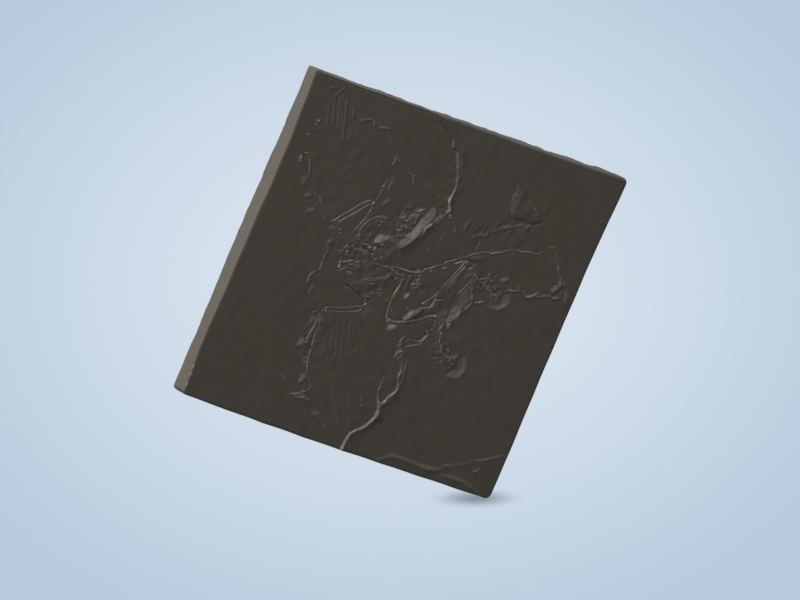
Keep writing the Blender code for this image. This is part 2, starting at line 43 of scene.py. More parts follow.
# Every place on the face is (across, down) in mm from its top left corner; heights are in mm too.
# A third number at a point of a line is how strong the line is there; without one it is 1.
slab = {
    "across": 460.0, "down": 380.0, "thickness": 18.0,
    "faceLevel": 16.6,                    # the flat of the stone
    "headroom": 0.02, "deepest": -2.0,    # room left over the highest step; the lowest place
    "edgeRound": 1.1,                     # radius of the worn edge round the face
    "backChamfer": 0.9,
    "cornerRadii": (2.0, 6.5, 7.0, 5.0),  # top left, top right, bottom right, bottom left
    "edgeWander": 0.7,                    # fine waves of the broken sides
    "edgeReach": 14.0, "cornerReach": 16.0,  # how far from the sides, and the corners, their waves matter
    # how far each side of the face lies outside its straight line, at distances from its left or top end
    "leftEdge": ((0, 3.4), (12, 3), (36, 1.6), (60, 0.2), (84, -0.8), (132, -0.9), (160, -0.2), (240, 0.1),
                 (276, 0.3), (300, 1.2), (324, 0.6), (348, -1.9), (372, -3), (380, -3)),
    "rightEdge": ((0, 3.3), (12, 3), (36, 1.8), (60, 0.9), (84, 0), (200, -0.5), (228, -0.2), (276, 0.5),
                  (348, 1.0), (380, 0.2)),
    "topEdge": ((0, 1.2), (30, 0.4), (60, 0), (380, 0.2), (428, 1.2), (460, 1.4)),
    "bottomEdge": ((0, -2.2), (12, -1.7), (44, -0.5), (76, -0.2), (140, 0.3), (204, 1.2), (236, 0.8),
                   (300, 0.5), (332, 0.8), (396, 0), (460, -0.3)),
    "leftFoot": ((0, 2.6), (40, 2.0), (180, 2.4), (250, 2.4), (276, 1.3), (324, 0.8), (380, 0.2)),
    "sideRings": (12.8, 10.4, 7.8, 5.2, 2.8),  # heights of the rings of points down the sides
    "sideRough": 0.35, "sidePale": 0.06,
    "fanRadius": 7.0,                     # the rim's corners spread out round points this far inside
    "roundScale": 170.0,                  # mm for each radian round the slab, for the lumps of its sides
    # chips out of the left edge: how far down, half length and strength
    "edgeChips": ((338.6, 1.6, 0.35), (345.8, 2.3, 0.95), (354.6, 2.5, 0.85), (366.4, 2.3, 1.0)),
    # a chip's cut facet gets a painted highlight: how strongly it is painted paler; and how deep the chip
    # cuts in
    "chipPaintedHighlight": 0.72, "chipDepth": 0.5,
    "topRimPaintedHighlight": 0.38, "topRimHighlightWidth": 1.3,  # a painted highlight: the rounded edge along the top is painted paler
    "gridCell": 2.64, "fineSteps": 2,     # cells near the fossil are halved this many times
    "fineRoughSize": 5.6,                 # rough places with smaller lumps than this get halved cells too
    "waves": ((95, 0.20, 11), (34, 0.10, 12), (13, 0.055, 13), (5.5, 0.03, 14)),  # size, height, seed
}

# Bones, as raised lines: width, height, how beaded it is, and the line it follows
bones = {
    "upperUlna": (2.2, 0.64, 0.1, (
        (101.2, 148.2, 2.05), (105.4, 144.3, 1.2), (110.3, 138.6, 0.7), (116.3, 132.6, 0.9),
        (121.5, 127.4, 1.05), (127.4, 121.6, 0.75), (132.4, 117.6, 0.85), (136.3, 115.2, 0.9),
        (140.2, 113.6, 0.6))),
    "upperRadius": (1.4, 0.86, 0.1, (
        (108.4, 147.6, 1.5), (113.8, 142.3, 1.2), (120.7, 136, 1.0), (127, 129.8, 1.2), (132, 125, 0.9),
        (136.3, 120.7, 1.0), (140.3, 118.1, 0.9))),
    "upperHumerus": (1.2, 0.88, 0.15, (
        (143.5, 119, 0.7), (143.1, 125.6, 1.4), (141.5, 132.4, 0.9), (138.7, 138.8, 1.5),
        (136, 145.1, 0.45), (133.5, 150.5, 1.1))),
    "shoulderBand": (2.7, 0.22, 0.2, (
        (145.5, 112.2, 1.65), (145.7, 109, 0.6), (146.7, 104.9, 0.5), (147.6, 99, 1.25))),
    "shoulderBar": (1.9, 0.58, 0.1, ((146.2, 96.2, 2.15), (148.1, 91.2, 0.4), (149.3, 86.1, 0.45))),
    "lowerRadius": (1.5, 0.44, 0.08, (
        (186.9, 224.6, 2.9), (180.2, 227.3, 0.75), (171.9, 230.1, 0.95), (163.4, 233.3, 0.75),
        (153.4, 236, 0.4), (145.2, 238, 0.6), (141.2, 240.1, 0.6))),
    "lowerUlna": (1.2, 0.68, 0.08, (
        (187.1, 228.4, 1.9), (181.8, 232.1, 1.8), (173.5, 235.4, 0.7), (163.5, 238.1, 0.65),
        (155.1, 240.1, 0.7), (146.7, 241.5, 0.25))),
    "firstFinger": (1.6, 0.67, 0.25, (
        (140.2, 241.8, 0.55), (137.5, 243.9, 0.5), (136, 246.7, 0.3), (135, 250.8, 1.45),
        (135.4, 255, 0.8), (135.3, 260, 0.85), (134.9, 264, 0.95), (133.7, 268.3, 1.2),
        (132.8, 272.5, 1.65), (133.2, 276.7, 1.5), (131.6, 279.8, 1.25))),
    "secondFingerRoot": (2.1, 0.33, 0.1, ((136, 252.3), (138.9, 255.4))),
    "secondFinger": (1.7, 0.56, 0.25, (
        (140.9, 250, 0.3), (140.1, 255.1, 0.75), (142, 262.5, 0.45), (140.7, 266.7, 0.55),
        (140.7, 271.7, 0.7), (141.5, 275.9, 1.25), (142.5, 280.8, 1.65), (142.4, 284, 2.35))),
    "secondFingerEnd": (2.1, 0.62, 0.3, (
        (143.9, 287.5, 0.95), (144.6, 293.8, 0.7), (146.3, 301.3, 1.2), (148.5, 306.5, 1.35),
        (151.5, 311.4, 0.75), (150.4, 314.2, 1.05))),
    "secondFingerBranch": (1.8, 0.3, 0.2, (
        (144.5, 293.6, 1.15), (141.9, 298.3, 1.25), (138.4, 300.2, 0.6))),
    "thumb": (2.1, 0.39, 0.2, ((131.2, 251.6), (132.2, 256.7))),
    "thumbBeads": (1.5, 0.58, 0.6, ((127.9, 253.1, 1.6), (128.5, 256, 0.65), (128.1, 260, 0.75))),
    "thumbBar": (1.9, 0.31, 0.1, ((125.3, 249.1), (130.3, 247))),
    "upperHandFirst": (2.1, 0.54, 0.4, (
        (61.3, 125, 0.35), (65, 127.5, 1.85), (67.5, 128.8, 0.4), (71.3, 128.5, 0.3), (74.1, 132.2, 0.7),
        (77.5, 135, 2.4))),
    "upperHandSecond": (1.3, 0.79, 0.3, ((67, 137.5, 0.1), (73.8, 140.6, 1.25), (78.8, 145, 1.65))),
    "upperHandThird": (1.3, 0.45, 0.3, (
        (86, 139, 0.25), (87, 142, 0.15), (87.5, 147, 0.75), (91.3, 148.8, 2.85))),
    "upperWrist": (0.8, 0.82, 0.2, ((93.8, 142.5, 0.05), (97.5, 147.5, 1.35), (98.8, 151, 1.6))),
    "femur": (2.6, 0.67, 0.08, (
        (223.7, 183.2, 0.6), (223.5, 190, 0.6), (221.9, 197.5, 1.8), (220.8, 205, 0.6),
        (221.1, 211.7, 0.65), (221.9, 218.4, 0.6), (222.8, 223.6, 0.85), (225, 228.7, 1.4),
        (227, 229.9, 1.95))),
    "tibia": (2.9, 0.61, 0.08, (
        (230, 230, 0.75), (237, 229.9, 1.05), (243.6, 228.2, 1.85), (252, 225.8, 0.5),
        (258.6, 223.2, 0.55), (265.5, 220.2, 0.45), (272.3, 216.1, 0.45), (278.5, 212.2, 0.95),
        (283.6, 210.2, 2.15), (287.2, 210.6, 1.3))),
    "farTibia": (1.8, 0.52, 0.1, (
        (294.6, 143, 2.15), (293.5, 146.5, 2.5), (292.4, 150, 1.85), (290.9, 153.8, 1.05),
        (289, 157.4, 0.95), (287.3, 160.8, 0.9), (285.7, 164.3, 0.85), (284.3, 167.8, 0.6),
        (282.6, 171.2, 0.6), (281.3, 174.4, 0.55), (279.8, 177.8, 0.55), (278.6, 180.8, 0.25),
        (277, 183.8, 0.45), (275.2, 187, 1.1), (273, 190.4, 0.9), (270.5, 193.9, 0.45), (268, 196.3),
        (264.5, 199.3, 1.4), (262, 200.3, 0.95))),
    "farFibula": (1.4, 0.81, 0.1, (
        (298.5, 147.8, 1.05), (296.5, 149.8, 1.4), (295, 153.4, 1.15), (292.5, 158.4, 0.9),
        (290, 162.4, 1.15), (288.5, 166.4, 0.9), (286.6, 170, 0.5))),
    "ankleHook": (2.0, 0.78, 0.15, (
        (277.5, 185, 0.25), (277.3, 190, 0.5), (277, 194.4, 1.25), (276.5, 198.4, 1.65),
        (274.8, 201.8, 1.6), (271, 204.1, 1.35), (266, 205.3, 0.45))),
    "ankleBar": (1.9, 0.44, 0.1, ((279, 193), (287.4, 191))),
    "kneeBar": (2.2, 1.25, 0.1, ((282.8, 148.6), (291.8, 143.2))),
    "shinBar": (2.1, 0.98, 0.1, ((303.4, 149.9), (308, 145.6))),
    "footBar": (2.6, 1.0, 0.2, ((301, 215.9), (300, 222.6))),
    "footLine": (2.3, 0.8, 0.3, ((304.4, 227.9, 1.2), (306.1, 231.3, 0.7), (307.6, 235.8, 0.8))),
    "footToe": (1.4, 0.4, 0.4, ((317, 234.6, 0.6), (323.3, 239.6, 0.1), (327.5, 241.3, 1.5))),
    "toeBarUpper": (2.2, 0.51, 0.1, ((327.6, 246.9), (332.9, 244.6))),
    "toeBarLower": (2.1, 0.81, 0.1, ((325.2, 246.9), (332.5, 249.2))),
    "footBand": (3.4, 0.25, 0.3, ((311, 239.6, 0.7), (317, 246))),
    "footBandLower": (2.7, 0.24, 0.2, ((307, 253.5), (315, 252.5))),
    "farFootBar": (1.5, 0.57, 0.15, ((324.7, 155.3), (334.4, 152))),
    "farFootChain": (2.0, 0.59, 0.4, (
        (337.2, 159.1, 0.4), (339.4, 162.5, 0.15), (346.4, 164.3, 2.2), (348.5, 167.6, 0.75),
        (353.1, 166.1, 0.35), (355.8, 168.3, 2.2))),
    "farFootLine": (1.0, 0.4, 0.1, ((342, 147.4), (347.5, 145))),
    "spine": (2.1, 0.6, 0.35, (
        (180, 176.9, 1.35), (186.7, 177, 0.2), (195.2, 176.3, 0.95), (202, 175.4, 0.6),
        (210.1, 173.3, 0.45), (220, 173.3, 2.1), (228.5, 172.9, 2), (238.6, 171.3, 2.15),
        (243.4, 170.2, 1.15), (247.6, 164.7, 1.15), (253.7, 161.9, 1.25), (260.4, 157.6, 0.5),
        (269.4, 152.8, 0.35), (270.9, 149.8, 1.65), (278.7, 146.1, 1.15), (285, 141.9, 0.1),
        (290.7, 138.8, 0.25), (295.5, 136, 0.4), (301.3, 132.1, 1.15))),
    "tail": (2.3, 0.49, 0.4, (
        (300.9, 131.9, 2.65), (306.7, 130, 0.5), (311.3, 127.8, 0.45), (319.8, 124.6, 0.35),
        (324.3, 125.2, 1.6), (331.3, 122.3, 1.8), (338.5, 120.2, 0.6), (345.4, 115.5, 0.3),
        (357, 111.8, 0.15), (363.2, 112.6, 1.7), (371.3, 110, 1.1), (377.1, 109.7, 0.75),
        (384.4, 109.4, 0.55), (390, 105.3, 0.2))),
    "tailSide": (1.5, 0.14, 0.2, ((320.1, 122.3, 0.8), (330.1, 119.4, 0.8), (338, 118.4, 0.4))),
    "trunkLine": (2.1, 0.9, 0.3, (
        (203.4, 176, 1.45), (208.2, 178.8, 0.75), (214.9, 179.6, 0.9), (224.2, 179.6, 0.9))),
    "pelvisStreak": (3.2, 0.4, 0.2, ((238.3, 185), (249.5, 182))),
    "pelvisStreakLow": (1.8, 0.45, 0.1, ((241.2, 188.9), (249.9, 185))),
    "jawUpper": (2.7, 0.8, 0.2, ((137, 187, 0.8), (141.4, 185.4, 0.8), (146, 183), (149.8, 181.4, 0.7))),
    "jawLower": (1.8, 0.39, 0.2, ((142.3, 186.9, 1.8), (151.8, 186.4, 0.25), (158.3, 184.2, 0.95))),
    "jawBack": (2.1, 0.64, 0.1, ((153.8, 182.4), (157.7, 180))),
    "cheek": (2.0, 0.77, 0.3, ((163.6, 180.7, 1.7), (164.6, 178.6, 0.6), (168.6, 176.8, 0.7))),
    "neckLine": (1.6, 0.5, 0.2, ((149, 161.4), (154, 161.6), (160.4, 159.4))),
    "shoulderChain": (1.6, 0.35, 0.6, ((163.2, 156.6, 0.5), (165.2, 158.6))),
    "looseBar": (3.8, 1.02, 0.15, ((288.8, 231.6, 0.45), (284.6, 237.1, 1.25), (282.4, 240.8, 1.3))),
    "looseRib": (3.4, 0.5, 0.1, ((258.2, 241.6, 0.5), (256.7, 244.2, 0.7), (255, 248.5, 1.5))),
    "looseLine": (1.8, 0.59, 0.3, (
        (263.5, 252.9, 0.4), (270, 249.3, 0.7), (276.5, 246.3, 1.05), (281.9, 244.5, 0.6),
        (283.8, 241.6, 2.2))),
    "looseLineUpper": (1.8, 0.96, 0.2, ((271.8, 241.8, 0.75), (277, 242, 0.9), (282.1, 240.2, 1.35))),
    "looseRing": (1.6, 0.35, 0.5, (
        (258.6, 259.6, 0.7), (262.9, 257.2, 1.3), (264.9, 260.5, 1.8), (264, 264.3, 0.6), (259.4, 266.2),
        (257.3, 262.3, 0.4), (258.9, 258.1, 0.3))),
    "eyeRing": (1.5, 0.7, 0.7, (
        (137.4, 172.6), (136.2, 175.2, 1.2), (133.6, 176, 0.9), (131.2, 174.6, 0.6), (130.7, 171.6, 1.2),
        (132, 169.4, 1.3), (135, 168.9, 0.4), (137, 170.6, 1.1))),
    "eyeInner": (1.3, 0.6, 0.5, ((132.4, 171.6), (134.2, 172.2, 1.2), (135.6, 171.8))),
    "snoutFold": (1.6, 0.4, 0.2, ((135, 195.4), (138, 196.8, 0.6))),
    "snoutFoldUpper": (1.6, 0.45, 0.3, ((138.4, 195), (141.4, 193.6), (143.4, 192.6, 0.5))),
    "farFootStart": (1.5, 0.5, 0.6, (
        (312.6, 151.4, 0.6), (316, 153, 1.4), (320, 155.6, 0.9), (325, 157.6), (331, 160, 0.7),
        (336.6, 161.6))),
}

# Ends and bits of bone: across, down, half sizes, height and turn in degrees
knobs = {
    "upperElbow": (143.9, 116.2, 2.6, 2.4, 1.6, 0), "lowerElbow": (189.6, 222.5, 2.2, 2.0, 0.95, 0),
    "lowerElbowSmall": (186.7, 218.3, 1.3, 1.3, 0.76, 0), "wristFirst": (140.9, 239.6, 1.5, 1.4, 0.93, 0),
    "wristSecond": (142.2, 242.7, 1.7, 1.4, 1.11, 0), "wristThird": (138.1, 243.1, 1.4, 1.3, 0.64, 0),
    "knee": (228.2, 230.6, 3.2, 2.3, 1.6, 20), "ankle": (286.5, 209.6, 2.5, 2.1, 1.6, 0),
    "farKnee": (297.5, 143.0, 2.0, 1.8, 1.31, 0), "farKneeEnd": (264.1, 200.7, 1.8, 1.5, 1.38, 0),
    "footKnob": (304.1, 225.5, 1.5, 1.4, 1.16, 0), "toeKnob": (311.3, 237.4, 1.8, 1.5, 0.2, 0),
    "heelKnob": (320.2, 254.9, 1.5, 1.3, 0.37, 0), "farFootKnob": (315.7, 153.5, 1.7, 1.4, 1.07, 0),
    "farFootBead": (333.4, 146.9, 1.4, 1.2, 0.65, 0), "farFootPad": (340.2, 152.7, 1.5, 1.2, 0.72, 0),
    "farFootToe": (332.2, 158.7, 1.3, 1.2, 0.76, 0), "pelvisFront": (240.8, 169.8, 3.1, 2.1, 1.39, 0),
    "pelvisMiddle": (245.0, 173.5, 2.7, 1.9, 0.89, -20), "pelvisBack": (244.6, 179, 3.6, 2.4, 0.7, -60),
    "bellySpot": (215.4, 184.8, 3.0, 1.8, 0.55, 10), "shinSpot": (245.9, 210.6, 1.4, 1.3, 0.76, 0),
    "thighSpot": (227.1, 218.9, 1.3, 1.1, 0.58, 0), "tailSpot": (256.4, 164.4, 1.8, 1.3, 0.86, 0),
    "tailBump": (273.0, 156.6, 3.1, 1.7, 0.76, 10), "snout": (134.4, 193, 2.8, 2.0, 1.5, -75),
    "snoutUpper": (134, 188, 2.3, 2.3, 0.8, 0), "chin": (151.6, 196, 5.4, 2.2, 0.42, -4),
    "chinSpot": (149.4, 194.6, 1.6, 1.0, 0.6, -20), "jawSpot": (149.8, 190.8, 1.7, 1.3, 0.45, 0),
    "skullA": (149.4, 168.6, 1.9, 1.2, 0.6, 30), "skullB": (153.9, 168, 1.9, 1.2, 0.6, 0),
    "skullC": (158.4, 167.8, 2.0, 1.3, 0.6, 0), "skullD": (145.9, 169.4, 1.6, 1.2, 0.45, 0),
    "skullE": (143.4, 166.4, 1.5, 1.2, 0.35, 0), "shoulderA": (163, 162.6, 2.3, 1.6, 0.85, 40),
    "shoulderB": (171.2, 162.6, 3.4, 2.1, 0.85, -52), "shoulderC": (177.9, 172.2, 1.6, 1.4, 1.1, 0),
    "shoulderD": (184.4, 168.6, 2.4, 1.6, 0.45, 0), "shoulderE": (165, 132, 2.2, 1.7, 0.25, 0),
    "shoulderF": (163.6, 136.6, 2.3, 1.4, 0.35, 0), "looseBitA": (285.6, 228.1, 1.5, 1.2, 0.76, 0),
    "looseBitB": (289.9, 224.3, 1.5, 1.1, 0.37, 0), "looseBitC": (265.0, 243.3, 1.4, 1.1, 0.47, 0),
    "handBitA": (114.9, 154.6, 1.5, 1.3, 0.84, 0), "handBitB": (117.7, 158.0, 1.3, 1.2, 0.69, 0),
    "fingerBump": (143.0, 303.0, 2.2, 1.8, 0.51, 20),
}

# The neck is a chain of beads, each with its place and strength
neck = {
    "beads": ((169, 126.4, 0.35), (166, 127, 0.5), (162.6, 126.8, 0.45), (159.8, 127.2, 0.9),
              (157, 128.2, 0.85), (153.6, 130.2, 0.6), (150.6, 132.2, 0.85), (147.9, 134.2, 0.6),
              (146, 137, 0.95), (144.4, 139.8, 1.0), (143, 142.6, 0.8), (141.9, 145.8, 1.0),
              (142, 149, 0.75), (142.9, 152.6, 1.0), (143.1, 155.6, 0.8), (145, 158.6, 0.9)),
    "outerBeads": ((139.4, 146.8, 0.5), (138.8, 150.2, 0.7), (139.8, 153.2, 0.6), (139.6, 156.2, 0.8),
                   (141.2, 158.2, 0.6), (141.4, 161.4, 0.6), (144, 162.4, 0.5), (138.4, 165.2, 0.4)),
    "beadSize": (1.7, 1.25, 1.0),   # half width across the neck, half length along it, height
    "cord": (2.0, 0.36, 0.6),        # the ridge under the beads: width, height, how beaded
    "eyeBeads": ((128.6, 175.2, 1.0), (132.4, 179.4, 0.7), (138.2, 177.8, 0.8)),
    "eyeBeadSize": (1.3, 1.1, 0.55),
}

# Lines sunk into the stone: width, depth and line
grooves = {
    "lowerHumerus": (2.2, 0.9, (
        (151.7, 209.6), (158.3, 210), (165, 212.3), (173.3, 214.2), (180, 216.7), (185.8, 219.2))),
    "neckGroove": (2.8, 1.5, (
        (142.8, 159.6), (147, 161.4), (151, 163), (157, 164.5), (163, 166.3), (169.4, 167.6))),
    "trunkGroove": (1.7, 0.55, ((215, 174), (223.3, 175.4), (230, 176.7))),
    "trunkGrooveLow": (1.5, 0.45, ((200.8, 180), (225, 181.3), (231.7, 182), (238.3, 183))),
    "tibiaShade": (1.2, 0.5, ((230, 233), (238, 231.4), (248, 229))),
    "footGroove": (2.1, 0.8, ((289.2, 212.5), (294.2, 214), (297.5, 219.2))),
    "toeGroove": (1.7, 0.6, ((314, 236.7), (318.3, 238.3), (323.3, 237), (327.5, 238.3), (330, 240.8))),
    "farFootGroove": (1.6, 0.6, ((326.7, 159.2), (332, 162.5), (339, 165), (347, 168.3), (357, 170.4))),
    "crackTop": (2.5, 1.0, (
        (178, 6), (187.3, 9.8), (195, 13), (200.9, 16), (206.4, 19.4), (211.4, 22.4))),
    "crackShoulder": (1.6, 0.6, ((217.7, 32.4), (224.5, 33))),
    "crackFoot": (1.4, 0.7, ((252, 106), (257, 106.5))),
    "tailDark": (1.6, 0.5, ((264.5, 157.5), (268.5, 156))),
    "looseDark": (1.3, 0.6, ((275, 242.5), (280.4, 243))),
    "leafFootDark": (1.6, 0.4, ((303.5, 211.5), (309.5, 211))),
    "plateFoot": (2.4, 0.35, ((330, 81.4), (341, 82.4), (355.5, 81.6), (368, 78.6))),
    "topStep": (2.2, 0.22, ((15, 3.6), (60, 3.2), (110, 3.8), (150, 3.4), (179, 4.2))),
    "rockDarkA": (1.6, 0.5, ((215, 108), (218, 106.4))),
    "rockDarkB": (1.5, 0.5, ((200, 112.6), (202.6, 111.8))),
    "riserLine": (1.4, 0.8, (
        (230.4, 111), (228.4, 115.6), (225, 119.6), (222.8, 124), (221.4, 129), (219.6, 134))),
}

# Pits: across, down, half sizes, depth and turn in degrees
hollows = {
    "tailHollow": (306, 141, 6.2, 1.7, 0.6, -3), "neckHollow": (152.8, 150, 3.8, 6.4, 0.55, 0),
    "blobHole": (175.4, 159.4, 3.4, 1.3, 1.1, 0), "heelPit": (334.6, 251.8, 1.4, 1.2, 0.9, 0),
    "heelPitUpper": (328.3, 249.2, 1.3, 1.1, 0.8, 0), "heelPitLow": (332.5, 257, 1.2, 1.1, 0.7, 0),
    "toePit": (331.7, 155.4, 1.6, 1.1, 0.8, 0), "crackPit": (247.3, 99.5, 1.5, 1.5, 0.8, 0),
    "lowPit": (237.8, 325.9, 1.5, 1.2, 0.8, 0), "bowlPit": (353.3, 262.5, 1.3, 1.1, 0.6, 0),
}

